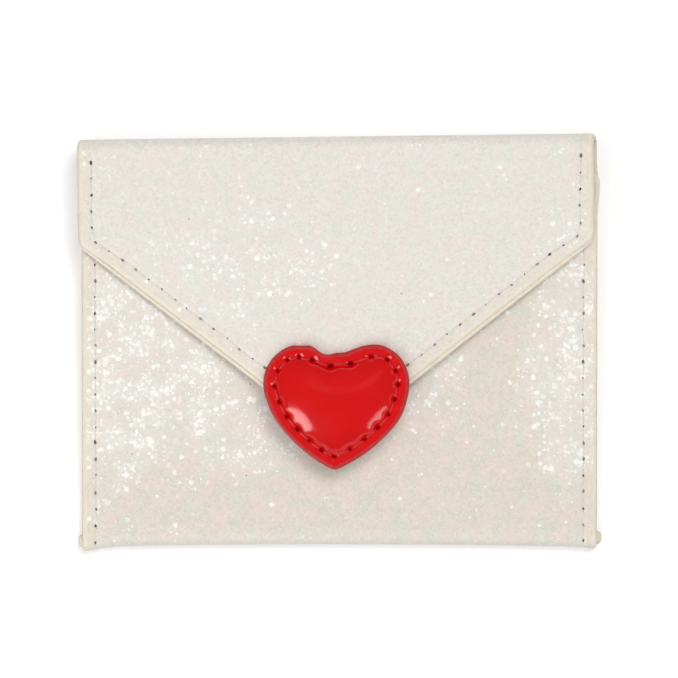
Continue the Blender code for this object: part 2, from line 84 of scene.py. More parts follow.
# Layers, counted from the outside of the outer sheet: its film, base and paint, then the lining and its paint
STACK = 1.3
OUTER_DEPTH = 0.74

# Where the back changes from the lower strip to the upper one, and the seams
BACK_SPLIT = 20.0
STITCH_INSET = 2.7
STITCH_PITCH = 3.33
STITCH_STRAY = 0.09


# Places and paths

def shift(x, y, z):
    """A move as a 4 by 4 matrix."""
    matrix = np.eye(4)
    matrix[:3, 3] = (x, y, z)
    return matrix


def turn(axis, angle):
    """A right-handed turn about one main axis, as a 4 by 4 matrix."""
    matrix = np.eye(4)
    first, second = {"x": (1, 2), "y": (2, 0), "z": (0, 1)}[axis]
    matrix[first, first] = matrix[second, second] = math.cos(angle)
    matrix[second, first] = math.sin(angle)
    matrix[first, second] = -math.sin(angle)
    return matrix


def put(matrix, points):
    """Points carried by a matrix."""
    return points @ matrix[:3, :3].T + matrix[:3, 3]


FOLD_FRAME = shift(FLAP_SHIFT, TOP_Y, 0) @ turn("z", SKEW)
BOTTOM_FRAME = shift(BODY_SHIFT, BOTTOM_Y, FOLD_RADIUS)
FRONT_FRAME = BOTTOM_FRAME @ turn("x", TILT)
FLAP_FRAME = (
    FOLD_FRAME
    @ shift(0, -CREASE_RADIUS, TOP_DEPTH - CREASE_RADIUS)
    @ turn("x", FALL)
    @ shift(0, 0, CREASE_RADIUS)
)
HEART_FRAME = FLAP_FRAME @ shift(HEART_A, HEART_B, 0)

BOTTOM_ARC = FOLD_RADIUS * (math.pi - TILT)
LOW_CREASE = CREASE_RADIUS * math.pi / 2
SPINE_LENGTH = TOP_DEPTH - 2 * CREASE_RADIUS
HIGH_CREASE = CREASE_RADIUS * (math.pi / 2 + FALL)
FLAP_START = LOW_CREASE + SPINE_LENGTH + HIGH_CREASE
MID_SPINE = LOW_CREASE + SPINE_LENGTH / 2


def smooth(t):
    """0 to 1 with level ends: t * t * (3 - 2 t)."""
    t = np.clip(t, 0, 1)
    return t * t * (3 - 2 * t)


def bell(x, middle, width):
    """1 at the middle, falling off on both sides as exp(-d * d), d being the distance in widths."""
    return np.exp(-((x - middle) / width) ** 2)


def bent(s, depth, start, heading, legs, inward):
    """(y, z) of points s along a bent strip and depth into it.

    Each leg is a length and a turn. Along a leg the heading grows evenly, so the way is the integral of
    (cos, sin) of the heading, and the depth is laid off square to it, to the left where inward is 1.
    """
    s = np.asarray(s, float)
    angle = np.full(s.shape, heading)
    y = start[0] + np.minimum(s, 0) * math.cos(heading)
    z = start[1] + np.minimum(s, 0) * math.sin(heading)
    begun = 0.0
    here = heading
    for length, swing in legs:
        gone = np.clip(s - begun, 0, length)
        if swing:
            bend = swing / length
            y = y + (np.sin(here + bend * gone) - math.sin(here)) / bend
            z = z + (math.cos(here) - np.cos(here + bend * gone)) / bend
            angle = angle + bend * gone
        else:
            y = y + gone * math.cos(here)
            z = z + gone * math.sin(here)
        begun += length
        here += swing
    side = angle + inward * math.pi / 2
    return y + depth * np.cos(side), z + depth * np.sin(side)


FAR = 1000.0


def settle(points):
    """What handling has done to the soft sheets: the bottom fold bows up in the middle as a parabola and sags
    at its corners, and the right end of the mouth stands out a little, each sag and bulge as a bell."""
    x, y, z = np.moveaxis(points, -1, 0)
    low = smooth((-24 - y) / 16)
    bow = 0.5 * (1 - (x / 50) ** 2)
    bow -= 0.9 * bell(x, -52.5, 4.2) + 0.35 * bell(x, 53, 3.5)
    below = smooth((10.4 - z) / 0.8)
    bulge = 0.5 * bell(y, 31.5, 3.2) * smooth((x - 40) / 12) * below
    moved = points.copy()
    moved[..., 0] = x + bulge
    moved[..., 1] = y + bow * low
    return moved


def pocket_at(a, s, depth):
    """The lower strip: s runs from the back's lower end round the bottom fold and up the front."""
    legs = [(BOTTOM_ARC, TILT - math.pi), (FAR, 0)]
    y, z = bent(s, depth, (BOTTOM_Y, 0), math.pi, legs, -1)
    return settle(np.stack([a + BODY_SHIFT, y, z], -1))


def upper_at(a, s, depth):
    """The upper strip: s runs from the back's upper end over the top fold and down the flap."""
    legs = [(LOW_CREASE, math.pi / 2), (SPINE_LENGTH, 0), (HIGH_CREASE, math.pi / 2 + FALL), (FAR, 0)]
    y, z = bent(s, depth, (-CREASE_RADIUS, 0), 0.0, legs, 1)
    return settle(put(FOLD_FRAME, np.stack([a, y, z], -1)))


def pocket_flat(a, s):
    """Where a point of the lower strip lies on the strip before it is folded."""
    return np.stack([a + BODY_SHIFT, BOTTOM_Y - s, 0 * a], -1)


def upper_flat(a, s):
    """Where a point of the upper strip lies on the strip before it is folded."""
    return put(FOLD_FRAME, np.stack([a, s - CREASE_RADIUS, 0 * a], -1))


# Outlines

def v_line(side):
    """A flap edge from shoulder to point: a point on it, its direction down, and its outward normal."""
    top = np.array([side * HALF_WIDTH, SHOULDER_B])
    run = np.array([TIP_A, TIP_B]) - top
    run = run / np.linalg.norm(run)
    return top, run, side * np.array([-run[1], run[0]])


def on_slant(b):
    """0 along the flap's upright sides and 1 along its slanting edges, smooth round the shoulders."""
    return smooth((SHOULDER_B + 2 - b) / 6)


def shoulder_centre(side):
    """The middle of the arc that rounds a shoulder: its radius inside both the upright side and the slant."""
    top, run, normal = v_line(side)
    a = side * (HALF_WIDTH - SHOULDER_RADIUS)
    along = (a + normal[0] * SHOULDER_RADIUS - top[0]) / run[0]
    return np.array([a, (top + run * along - normal * SHOULDER_RADIUS)[1]])


def tip_centre():
    """The middle of the arc that rounds the point: as far from both edges as its radius."""
    (left, _, out_left), (right, _, out_right) = v_line(-1), v_line(1)
    rows = np.array([out_left, out_right])
    return np.linalg.solve(rows, np.array([out_left @ left, out_right @ right]) - TIP_RADIUS)


def flap_side(b, inset, side):
    """How far across the flap's edge lies at b, set in by a distance: upright, round the shoulder, straight
    down to the point, and round that."""
    top, run, normal = v_line(side)
    centre = shoulder_centre(side)
    tip = tip_centre()
    upright = side * (HALF_WIDTH - inset)
    slope = (top[0] - normal[0] * inset) + run[0] / run[1] * (b - top[1] + normal[1] * inset)
    across = np.where(side * slope < side * upright, slope, upright)
    radius = np.maximum(SHOULDER_RADIUS - inset, 0)
    on_arc = (b < centre[1]) & (b > centre[1] + radius * normal[1]) & (radius > 0)
    arc = centre[0] + side * np.sqrt(np.maximum(radius ** 2 - (b - centre[1]) ** 2, 0))
    across = np.where(on_arc, arc, across)
    radius = np.maximum(TIP_RADIUS - inset, 0)
    at_tip = b < tip[1] + radius * normal[1]
    arc = tip[0] + side * np.sqrt(np.maximum(radius ** 2 - (b - tip[1]) ** 2, 0))
    across = np.where(at_tip, arc, across)
    return np.where(side * (across - tip[0]) > 0, across, tip[0])


def flap_distance(a, b):
    """How far a point of the flap lies inside its outline, with the rounded corners counted."""
    tip = tip_centre()
    found = HALF_WIDTH - np.abs(a)
    for side in (-1, 1):
        top, run, normal = v_line(side)
        straight = (top[0] - a) * normal[0] + (top[1] - b) * normal[1]
        found = np.minimum(found, straight)
        centre = shoulder_centre(side)
        da, db = a - centre[0], b - centre[1]
        beyond = (db < 0) & (da * run[0] + db * run[1] < 0) & (side * da > 0)
        found = np.where(beyond, SHOULDER_RADIUS - np.hypot(da, db), found)
    da, db = a - tip[0], b - tip[1]
    left, right = v_line(-1)[1], v_line(1)[1]
    beyond = (da * left[0] + db * left[1] > 0) & (da * right[0] + db * right[1] > 0)
    return np.where(beyond, TIP_RADIUS - np.hypot(da, db), found)


def front_side(b, inset, side):
    """How far across the front's edge lies at b, here counted down from the mouth: upright, and round its
    corner."""
    upright = side * (HALF_WIDTH - inset)
    radius = np.maximum(MOUTH_CORNER_RADIUS - inset, 0)
    deep = MOUTH_CORNER_RADIUS - b
    centre = side * (HALF_WIDTH - MOUTH_CORNER_RADIUS)
    arc = centre + side * np.sqrt(np.maximum(radius ** 2 - deep ** 2, 0))
    return np.where((deep > 0) & (radius > 0), arc, upright)


def front_distance(a, b):
    """How far a point lies inside the front's sides and mouth edge."""
    near = np.minimum(HALF_WIDTH - np.abs(a), b)
    da = np.abs(a) - (HALF_WIDTH - MOUTH_CORNER_RADIUS)
    db = MOUTH_CORNER_RADIUS - b
    return np.where((da > 0) & (db > 0), MOUTH_CORNER_RADIUS - np.hypot(da, db), near)


# Meshes

def mesh_from(name, points, faces, flat=None, marks=None):
    """A mesh from points in mm and faces, with the points' places on the flat strip kept in sheet_mm."""
    mesh = bpy.data.meshes.new(name)
    mesh.from_pydata((np.asarray(points).reshape(-1, 3) * MM).tolist(), [], np.asarray(faces).tolist())
    if flat is not None:
        layer = mesh.attributes.new("sheet_mm", "FLOAT_VECTOR", "POINT")
        layer.data.foreach_set("vector", np.asarray(flat, np.float32).ravel())
    if marks is not None:
        mesh.polygons.foreach_set("material_index", np.asarray(marks, np.int32))
    return mesh


# Points closer than this, in metres, are made one
WELD = 2e-7


def in_scene(name, data):
    """A named object in the scene, at the origin."""
    made = bpy.data.objects.new(name, data)
    bpy.context.scene.collection.objects.link(made)
    return made


def piece(name, built, materials, sharp=40):
    """A finished piece of the purse: doubles merged, faces outwards, and soft shading with sharp corners.

    built holds what mesh_from takes: points, faces, and where it has them the flat places and the marks.
    """
    mesh = mesh_from(name, *built)
    bm = bmesh.new()
    bm.from_mesh(mesh)
    bmesh.ops.remove_doubles(bm, verts=bm.verts, dist=WELD)
    bmesh.ops.dissolve_degenerate(bm, edges=bm.edges, dist=WELD / 2)
    bmesh.ops.recalc_face_normals(bm, faces=bm.faces)
    if bm.calc_volume(signed=True) < 0:
        bmesh.ops.reverse_faces(bm, faces=bm.faces)
    bm.to_mesh(mesh)
    bm.free()
    mesh.shade_smooth()
    mesh.set_sharp_from_angle(angle=math.radians(sharp))
    for finish in materials:
        mesh.materials.append(finish)
    made = in_scene(name, mesh)
    return made


def grid_faces(rows, columns, wrap=False):
    """Quads of a grid of points; wrap joins the last column to the first."""
    across = np.arange(columns if wrap else columns - 1)
    after = (across + 1) % columns
    down = np.arange(rows - 1)[:, None] * columns
    quads = np.stack([down + across, down + after, down + columns + after, down + columns + across], -1)
    return quads.reshape(-1, 4)


def shell(upper, lower, flat, edge=None):
    """A closed sheet from two grids of points that meet round their rim, as points, faces, places and marks.

    edge holds 1 where a face is painted like the rim.
    """
    rows, columns = upper.shape[:2]
    count = rows * columns
    faces = grid_faces(rows, columns)
    ids = np.arange(count).reshape(rows, columns)
    rim = np.concatenate([ids[0, :-1], ids[:-1, -1], ids[-1, :0:-1], ids[:0:-1, 0]])
    after = np.roll(rim, -1)
    side = np.stack([rim, after, after + count, rim + count], -1)
    marks = np.zeros(len(faces), int) if edge is None else edge[:-1, :-1].ravel()
    points = np.concatenate([upper.reshape(-1, 3), lower.reshape(-1, 3)])
    places = np.concatenate([flat.reshape(-1, 3)] * 2)
    all_faces = np.concatenate([faces, faces[:, ::-1] + count, side])
    all_marks = np.concatenate([marks, marks, np.ones(len(side), int)])
    return points, all_faces, places, all_marks


# How far inside an edge each column or row of points lies: closest on the painted bead and by the seam
RINGS = np.array([
    0, .03, .09, .17, .27, .38, .5, .63, .78, .95, 1.2, 1.6, 2.0, 2.3, 2.5, 2.6, 2.7, 2.8, 2.9, 3.1, 3.4,
])
# How wide the painted bead is, and the most that the materials are told of the distance from the edge
BEAD = 0.84
PLACE_MOST = 4.0


def rounded(inside, wide, high):
    """How deep a rounded edge lies below its face, so far inside the outline: a quarter of an ellipse."""
    near = np.clip(1 - inside / wide, 0, 1)
    return high * (1 - np.sqrt(1 - near ** 2))


def pressed(a, b, holes, width, depth):
    """Dimples round needle holes: a bell of a given width and depth at each."""
    deep = np.zeros(a.shape)
    for x, y in holes:
        near = (np.abs(a - x) < 3 * width) & (np.abs(b - y) < 3 * width)
        deep[near] += depth * np.exp(-((a[near] - x) ** 2 + (b[near] - y) ** 2) / width ** 2)
    return np.minimum(deep, depth)


def columns_between(left, right, count):
    """Rings of columns along both sides of each row, and even columns between them."""
    share = np.linspace(0, 1, count)[None, 1:-1]
    middle = left[:, -1:] * (1 - share) + right[:, -1:] * share
    return np.concatenate([left, middle, right[:, ::-1]], 1)


def layer(kind, a, s, at, flat_at, inside, holes, ledge=0.0):
    """One sheet over a grid of places: outer sheet or lining, with beaded edges and a seam's groove.

    Its shown face is level, less a quarter ellipse at the edge, a bell along the seam and dimples at the
    needle holes, and the outer sheet has a bead of paint raised on it. ledge is 1 where the lining stands out
    past the outer sheet and its paint is built up. The materials' third place is the distance from the edge.
    """
    outer = kind == "outer"
    top, bottom = (0.0, OUTER_DEPTH) if outer else (OUTER_DEPTH + 0.02, STACK)
    thick = bottom - top
    face = top if outer else bottom
    hidden = bottom if outer else top
    sign = 1 if outer else -1
    groove = 0.11 * bell(inside, STITCH_INSET, 0.36)
    dimples = pressed(a, s, holes, 0.45, 0.16)
    bead = -0.05 * bell(inside, 0.62, 0.22) if outer else 0 * inside
    pattern = (groove + dimples + bead) * smooth(inside / 0.1)
    shown_wide, shown_high = (0.8, 0.56) if outer else (0.45, thick / 2)
    shown = face + sign * (rounded(inside, shown_wide, shown_high) + pattern)
    back = hidden - sign * rounded(inside, 0.2 if outer else 0.5, thick - shown_high)
    back = back - 0.16 * ledge * bell(inside, 0.44, 0.19)
    marks = (inside < BEAD).astype(int)
    flat = flat_at(a, s)
    flat[..., 2] = np.minimum(inside, PLACE_MOST)
    return shell(at(a, s, shown), at(a, s, back), flat, marks)


def rows_with(starts, step):
    """Row places through a list of stops, no further apart than step."""
    rows = []
    for first, last in zip(starts, starts[1:]):
        count = max(2, int(math.ceil(abs(last - first) / step)) + 1)
        rows.append(np.linspace(first, last, count)[:-1])
    return np.append(np.concatenate(rows), starts[-1])


def shear(s):
    """The top fold's sides lean from the back's edges to the flap's."""
    return (BODY_SHIFT - FLAP_SHIFT) * (1 - smooth(s / FLAP_START))


# The sheets

def flap_grid(margin_side, margin_v):
    """Places over the upper half of the spine and the flap: across, along, how far inside the outline, and B.

    The rows run down the flap, the columns follow both edges in rings, and the margins set the outline in.
    """
    tip = tip_centre()
    bends = rows_with([MID_SPINE, LOW_CREASE + SPINE_LENGTH], 0.5)[:-1]
    curve = rows_with([LOW_CREASE + SPINE_LENGTH, FLAP_START], 0.22)[:-1]
    straight = rows_with([FLAP_START, FLAP_START - tip[1]], 0.45)[:-1]
    last = TIP_RADIUS - margin_v
    round_end = FLAP_START - (tip[1] - last * np.sin(np.linspace(0, math.pi / 2, 22)))
    s = np.concatenate([bends, curve, straight, round_end])
    b = FLAP_START - s
    margin = margin_side + (margin_v - margin_side) * on_slant(b)
    rings = RINGS[None, :] + margin[:, None]
    rows = b[:, None] + 0 * rings
    left = flap_side(np.minimum(rows, 0), rings, -1)
    right = flap_side(np.minimum(rows, 0), rings, 1)
    a = columns_between(left, right, 150)
    below = np.minimum(b, 0)[:, None] + 0 * a
    inside = np.maximum(flap_distance(a, below) - margin[:, None], 0)
    return a, s[:, None] + 0 * a, inside, b


def curl(a, s):
    """How far the flap's slanting edges have settled towards the front: most at the edge itself and on the
    left, fading out 15 mm inside it, near the upper crease and beside the stiff heart."""
    b = np.minimum(FLAP_START - s, 0)
    most = 1.05 - 0.35 * np.tanh(a / 8)
    near_edge = 1 - smooth(flap_distance(a, b) / 15)
    heart = 1 - np.exp(-(np.hypot(a - HEART_A, b - HEART_B) / 19) ** 4)
    return most * smooth((-b - 8) / 14) * near_edge * heart


def flap_at(a, s, depth):
    """A point of the flap, whose sides lean a little on the spine."""
    return upper_at(a + shear(s), s, depth + curl(a, s))


def flap_flat(a, s):
    """Where that point lies on the flat strip."""
    return upper_flat(a + shear(s), s)


def flap_layer(kind, holes):
    """The flap with the upper half of the spine. Its lining stands out past the outer sheet on the slants."""
    margins = {"outer": (0.14, 0.74), "lining": (0.0, 0.0)}[kind]
    a, s, inside, b = flap_grid(*margins)
    ledge = on_slant(b)[:, None] if kind == "lining" else 0.0
    return layer(kind, a, s, flap_at, flap_flat, inside, holes, ledge)


def back_layer(kind):
    """The upper part of the back, the lower crease and the lower half of the spine.

    Its lowest row lies straight across the back, and the rows above turn evenly from it to the fold's skew.
    """
    margin = {"outer": 0.1, "lining": 0.0}[kind]
    left = (-HALF_WIDTH + RINGS + margin)[None, :]
    across = columns_between(left, -left, 90)[0]
    split = np.stack([across + BODY_SHIFT, BACK_SPLIT + 0 * across, 0 * across], -1)
    first = put(np.linalg.inv(FOLD_FRAME), split)
    stop = -1.0
    share = np.linspace(0, 1, 40)[:-1, None]
    a_low = first[:, 0] * (1 - share) + (across + shear(stop)) * share
    s_low = (first[:, 1] + CREASE_RADIUS) * (1 - share) + stop * share
    ways = np.concatenate([
        rows_with([stop, 0], 0.5)[:-1],
        rows_with([0, LOW_CREASE], 0.22)[:-1],
        rows_with([LOW_CREASE, MID_SPINE], 0.5),
    ])
    a_high = across[None, :] + shear(ways)[:, None]
    a = np.concatenate([a_low, a_high])
    s = np.concatenate([s_low, ways[:, None] + 0 * a_high])
    inside = np.maximum(HALF_WIDTH - np.abs(across) - margin, 0)[None, :] + 0 * a
    return layer(kind, a, s, upper_at, upper_flat, inside, [])


def pocket_layer(kind, holes):
    """The lower part of the back, the bottom fold and the front with its mouth edge."""
    margin = {"outer": 0.12, "lining": 0.0}[kind]
    end = BOTTOM_ARC + FRONT_LENGTH
    s = np.concatenate([
        rows_with([BOTTOM_Y - BACK_SPLIT, 0], 1.2)[:-1],
        rows_with([0, BOTTOM_ARC], 0.2)[:-1],
        rows_with([BOTTOM_ARC, end - RINGS[-1] - margin], 0.45)[:-1],
        end - margin - RINGS[::-1],
    ])
    b = (end - s)[:, None]
    rings = RINGS[None, :] + margin
    rows = b + 0 * rings
    left = front_side(rows - margin, rings - margin, -1) + margin
    right = front_side(rows - margin, rings - margin, 1) - margin
    a = columns_between(left, right, 120)
    inside = np.maximum(front_distance(np.sign(a) * (np.abs(a) + margin), b + 0 * a - margin), 0)
    return layer(kind, a, s[:, None] + 0 * a, pocket_at, pocket_flat, inside, holes)


# Seams

def walked(line, start, pitch):
    """Points along a line of points, at an even pitch of its own length."""
    steps = np.hypot(*np.diff(line, axis=0).T)
    way = np.append(0, np.cumsum(steps))
    at = np.arange(start, way[-1], pitch)
    return np.stack([np.interp(at, way, line[:, 0]), np.interp(at, way, line[:, 1])], -1)


def tubes(centres, across, up):
    """Closed threads along rows of nine points: an oval ring of six round each point, square to the thread,
    drawn in to nothing at both ends."""
    turns = np.arange(6) * math.pi / 3
    along = np.gradient(centres, axis=1)
    along /= np.linalg.norm(along, axis=-1, keepdims=True)
    beside = np.cross(along, up)
    beside /= np.linalg.norm(beside, axis=-1, keepdims=True)
    over = np.cross(beside, along)
    wide = across * np.array([0.0, 0.75, 1, 1, 1, 1, 1, 0.75, 0.0])[None, :, None, None]
    ring = np.cos(turns)[:, None] * beside[:, :, None] + 0.85 * np.sin(turns)[:, None] * over[:, :, None]
    points = centres[:, :, None] + wide * ring
    count, rows = centres.shape[:2]
    faces = grid_faces(rows, 6, wrap=True)
    faces = faces[None] + np.arange(count)[:, None, None] * rows * 6
    return points.reshape(-1, 3), faces.reshape(-1, 4)


def threads(holes, at, rest, dive, side, gap=0.16, radius=0.17):
    """Sewn threads from hole to hole, each a gap short of both. A thread lies at rest's depth in the middle
    and dives in at both ends, by the fifth power of the distance from the middle."""
    t = np.linspace(0, 1, 9)[None, :, None]
    start, stop = holes[:-1, None], holes[1:, None]
    run = (stop - start) / np.linalg.norm(stop - start, axis=-1, keepdims=True)
    places = start + run * gap + (stop - start - 2 * run * gap) * t
    depth = rest + (dive - rest) * np.abs(2 * t[..., 0] - 1) ** 5 + 0 * places[..., 0]
    points = at(places[..., 0], places[..., 1], depth)
    up = at(places[..., 0], places[..., 1], depth - side) - points
    return tubes(points, radius, up)


def uneven(holes, amount, seed):
    """Needle holes each a little off its place, as a hand-fed sheet leaves them."""
    return holes + np.random.default_rng(seed).normal(0, amount, holes.shape)


def needle_holes(holes, at, depth, side, long=0.43, wide=0.26):
    """Needle holes as small dished ovals of ten sides, each pulled along its seam and a little aslant, whose
    dark colour is painted shade inside the holes.
    """
    chance = np.random.default_rng(11)
    run = np.gradient(holes, axis=0)
    lean = np.arctan2(run[:, 1], run[:, 0]) + chance.normal(0, 0.35, len(holes))
    size = chance.uniform(0.5, 1.12, len(holes))[:, None, None]
    turns = np.arange(10) * math.pi / 5
    reach = np.array([0.02, 0.6, 1.0])[:, None]
    low = np.array([0.06, 0.03, 0.0])[:, None]
    ahead = size * long * reach * np.cos(turns)
    beside = size * wide * reach * np.sin(turns)
    cos, sin = np.cos(lean)[:, None, None], np.sin(lean)[:, None, None]
    a = holes[:, 0, None, None] + ahead * cos - beside * sin
    b = holes[:, 1, None, None] + ahead * sin + beside * cos
    upper = at(a, b, depth + side * low + 0 * a)
    lower = at(a, b, depth + side * (low + 0.08) + 0 * a)
    grid = np.concatenate([upper, lower[:, ::-1]], 1)
    faces = grid_faces(6, 10, wrap=True)
    faces = faces[None] + np.arange(len(holes))[:, None, None] * 60
    return grid.reshape(-1, 3), faces.reshape(-1, 4)


# Gussets: both leaves of one taper from the mouth to nothing at the bottom fold

GUSSET_THICK = 0.4
SEAM_WIDTH = 3.4
GUSSET_END = 73.96


def leaf_point(side, facing, u, y, depth):
    """A point of a gusset: u mm from its seam towards the crease, y mm up the seam, and depth mm towards its
    panel. Beyond the seam u is negative and the gusset lies flat on the panel as a margin."""
    across = np.where(u > 0, u * math.cos(LEAF_RISE), u)
    rise = np.where(u > 0, u * math.sin(LEAF_RISE), 0) - depth * np.where(u > 0, math.cos(LEAF_RISE), 1)
    across = across + np.where(u > 0, depth * math.sin(LEAF_RISE), 0)
    x = side * (HINGE_X - across)
    panel = FRONT_FRAME if facing > 0 else BOTTOM_FRAME
    return settle(put(panel, np.stack(np.broadcast_arrays(x, y, -facing * rise), -1)))


def margin_depth(u, near):
    """A gusset's two faces: its leaf starts at its own plane, and its margin is pressed to the lining."""
    share = smooth(-u / 0.8)
    return (0.15 * share) if near else GUSSET_THICK + 0.4 * share


def gusset_rows():
    """Places up a gusset's seam, closer together at its mouth end."""
    return rows_with([1.0, 12.0, GUSSET_END - 1, GUSSET_END], 1.2)[:, None]


def gusset_half(side, facing, high):
    """A gusset's margin and its leaf from the seam up to a share of the leaf's width, with a rounded rim."""
    y = gusset_rows()
    leaf = y * math.tan(LEAF_ANGLE) * np.linspace(0, high, 14)
    margin = np.append(-SEAM_WIDTH + 0.02 + 0.5 * RINGS[:10], np.linspace(-2.6, -0.05, 9)) + 0 * y
    u = np.concatenate([margin, leaf], 1)
    rim = rounded(np.where(u < 0, u + SEAM_WIDTH, FAR), 0.3, 0.3)
    near = leaf_point(side, facing, u, y, margin_depth(u, True) + rim)
    far = leaf_point(side, facing, u, y, margin_depth(u, False) - rim)
    return near, far, np.stack([u, y + 0 * u, 0 * u], -1)


def gusset_fold(side):
    """The upper half of the rear leaf, the crease, and the front leaf.

    The inner faces meet at the crease. Round it the outer face follows a parabola, drawn out to the leather's
    thickness.
    """
    y = gusset_rows()
    reach = y * math.tan(LEAF_ANGLE)
    rear = reach * np.linspace(0.5, 1, 12)
    front = reach * np.linspace(1, 0, 20) + 0.05
    inner = [leaf_point(side, -1, rear, y, 0), leaf_point(side, 1, front, y, 0)]
    outer = [leaf_point(side, -1, rear, y, GUSSET_THICK), leaf_point(side, 1, front, y, GUSSET_THICK)]
    corner = inner[0][:, -1:]
    first = outer[0][:, -1:] - corner
    last = outer[1][:, :1] - corner
    ahead = np.array([-side * 1.0, 0, 0]) * GUSSET_THICK
    turns = np.linspace(0, 1, 7)[1:-1][None, :, None]
    nose = first * (1 - turns) ** 2 + last * turns ** 2 + ahead * 4 * turns * (1 - turns) * 0.8
    nose *= GUSSET_THICK / np.linalg.norm(nose, axis=-1, keepdims=True)
    inner_all = np.concatenate([inner[0], corner + 0 * nose, inner[1]], 1)
    outer_all = np.concatenate([outer[0], corner + nose, outer[1]], 1)
    across = np.concatenate([rear, np.repeat(rear[:, -1:], 5, 1), 2 * reach - front], 1)
    return inner_all, outer_all, np.stack([across, y + 0 * across, 0 * across], -1)


# The heart

LOBE_RADIUS = 7.8
CLEFT_DEPTH = 2.2
SIDE_RADIUS = 26.0
POINT_RADIUS = 1.6


def arc_points(centre, radius, start, end, count):
    """Points on the shorter arc from one direction to another, without the last one."""
    first = math.atan2(start[1], start[0])
    swing = math.remainder(math.atan2(end[1], end[0]) - first, 2 * math.pi)
    angles = first + swing * np.arange(count) / count
    return centre + radius * np.stack([np.cos(angles), np.sin(angles)], -1)


def heart_line(inset, fine=6):
    """A heart of arcs set in by a distance: cleft, lobe, side and tip on the right, and then on the left.

    Each arc touches the next, and the side's middle comes from its distances to the lobe's and the tip's.
    """
    lobe = np.array([HEART_WIDTH / 2 - LOBE_RADIUS, HEART_HEIGHT / 2 - LOBE_RADIUS])
    cleft_y = HEART_HEIGHT / 2 - CLEFT_DEPTH
    rise = cleft_y - lobe[1]
    cleft_radius = (rise ** 2 + lobe[0] ** 2 - LOBE_RADIUS ** 2) / (2 * (LOBE_RADIUS - rise))
    cleft = np.array([0, cleft_y + cleft_radius])
    tip = np.array([0, -HEART_HEIGHT / 2 + POINT_RADIUS])
    to_tip = tip - lobe
    apart = np.linalg.norm(to_tip)
    near, far = SIDE_RADIUS - LOBE_RADIUS, SIDE_RADIUS - POINT_RADIUS
    along = (near ** 2 - far ** 2 + apart ** 2) / (2 * apart)
    beside = np.array([to_tip[1], -to_tip[0]]) / apart * math.sqrt(near ** 2 - along ** 2)
    side = lobe + to_tip / apart * along + beside
    inner_far = SIDE_RADIUS - inset - POINT_RADIUS
    low = np.array([0, side[1] - math.sqrt(inner_far ** 2 - side[0] ** 2)])
    down, up = np.array([0, -1]), np.array([1, 1])
    half = np.concatenate([
        arc_points(cleft, cleft_radius + inset, down, lobe - cleft, 3 * fine),
        arc_points(lobe, LOBE_RADIUS - inset, cleft - lobe, up, 6 * fine),
        arc_points(lobe, LOBE_RADIUS - inset, up, lobe - side, 6 * fine),
        arc_points(side, SIDE_RADIUS - inset, lobe - side, low - side, 8 * fine),
        arc_points(low, POINT_RADIUS, low - side, down, 3 * fine),
        low[None] - np.array([[0, POINT_RADIUS]]),
    ])
    return np.concatenate([half, half[-2:0:-1] * np.array([-1, 1])])


def heart_put(places, height):
    """Points of the heart on the flap. It was cut by hand: its cleft and point lie left of the middle, its
    lobes are drawn apart, it is full low on its sides, each by a bell faded in, and its free point droops."""
    x, y = places[..., 0], places[..., 1]
    apart = 1.1 * bell(x, 8, 4) - 1.9 * bell(x, -3.2, 5.2)
    low = bell(y, -2.2, 4.4)
    wider = 0.75 * low * smooth(x / 11) - (0.2 + 0.35 * low) * smooth(-x / 11)
    point = -0.6 * bell(x, 0, 6) * smooth((-y - 3) / 9)
    fuller = 0.9 * bell(x, -2.9, 1.7) + 0.45 * bell(x, 0.9, 1.2)
    fuller = fuller - 0.1 * bell(x, 3.3, 1.5) - 0.3 * bell(x, 10.5, 2)
    higher = y + fuller * smooth((y - 4) / 6)
    moved = x + apart * smooth(y / 11) + wider + point
    sunk = height - 1.4 * smooth((-y - 4.5) / 8.5)
    return put(HEART_FRAME, np.stack(np.broadcast_arrays(moved, higher, sunk), -1))


PULL = 0.75


def heart_fields(points, line):
    """Each point's distance to the heart's outline, and a soft distance that has no ridge: the outline's pull
    falls off as exp(-PULL * distance), and minus the logarithm of its sum grows inwards."""
    after = np.roll(line, -1, 0)
    run = after - line
    length = np.hypot(*run.T)
    found, soft = [], []
    for part in np.array_split(points, 40):
        gap = part[:, None] - line
        t = np.clip((gap * run).sum(-1) / length ** 2, 0, 1)
        away = np.linalg.norm(gap - t[..., None] * run, axis=-1)
        found.append(away.min(1))
        soft.append(-np.log((np.exp(-PULL * away) * length).sum(1)) / PULL)
    return np.concatenate(found), np.concatenate(soft)


HEART_PAINT = 0.75


def heart_shell(top_of, low, line, rings):
    """A heart-shaped solid: rings shrink from the outline to its middle, and distances give the heights."""
    middle = np.array([0, 1.0])
    share = rings[:, None, None]
    places = line * (1 - share) + middle * share
    inside, soft = heart_fields(places.reshape(-1, 2), line)
    shape = places.shape[:2]
    inside, soft = inside.reshape(shape), soft.reshape(shape)
    top = top_of(places, inside, soft)
    bottom = low + rounded(inside, 0.3, 0.3)
    count = places.shape[0] * places.shape[1]
    faces = grid_faces(*shape, wrap=True)
    points = np.concatenate([heart_put(places, height).reshape(-1, 3) for height in (top, bottom)])
    first = np.arange(shape[1])
    after = np.roll(first, -1)
    side = np.stack([first, after, after + count, first + count], -1)
    flat = np.concatenate([places, 0 * top[..., None]], -1).reshape(-1, 3)
    marks = (inside[:-1] < HEART_PAINT).astype(int).ravel()
    all_faces = np.concatenate([faces, faces[:, ::-1] + count, side])
    all_marks = np.concatenate([marks, marks, np.ones(len(side), int)])
    return points, all_faces, np.concatenate([flat, flat]), all_marks


# Materials

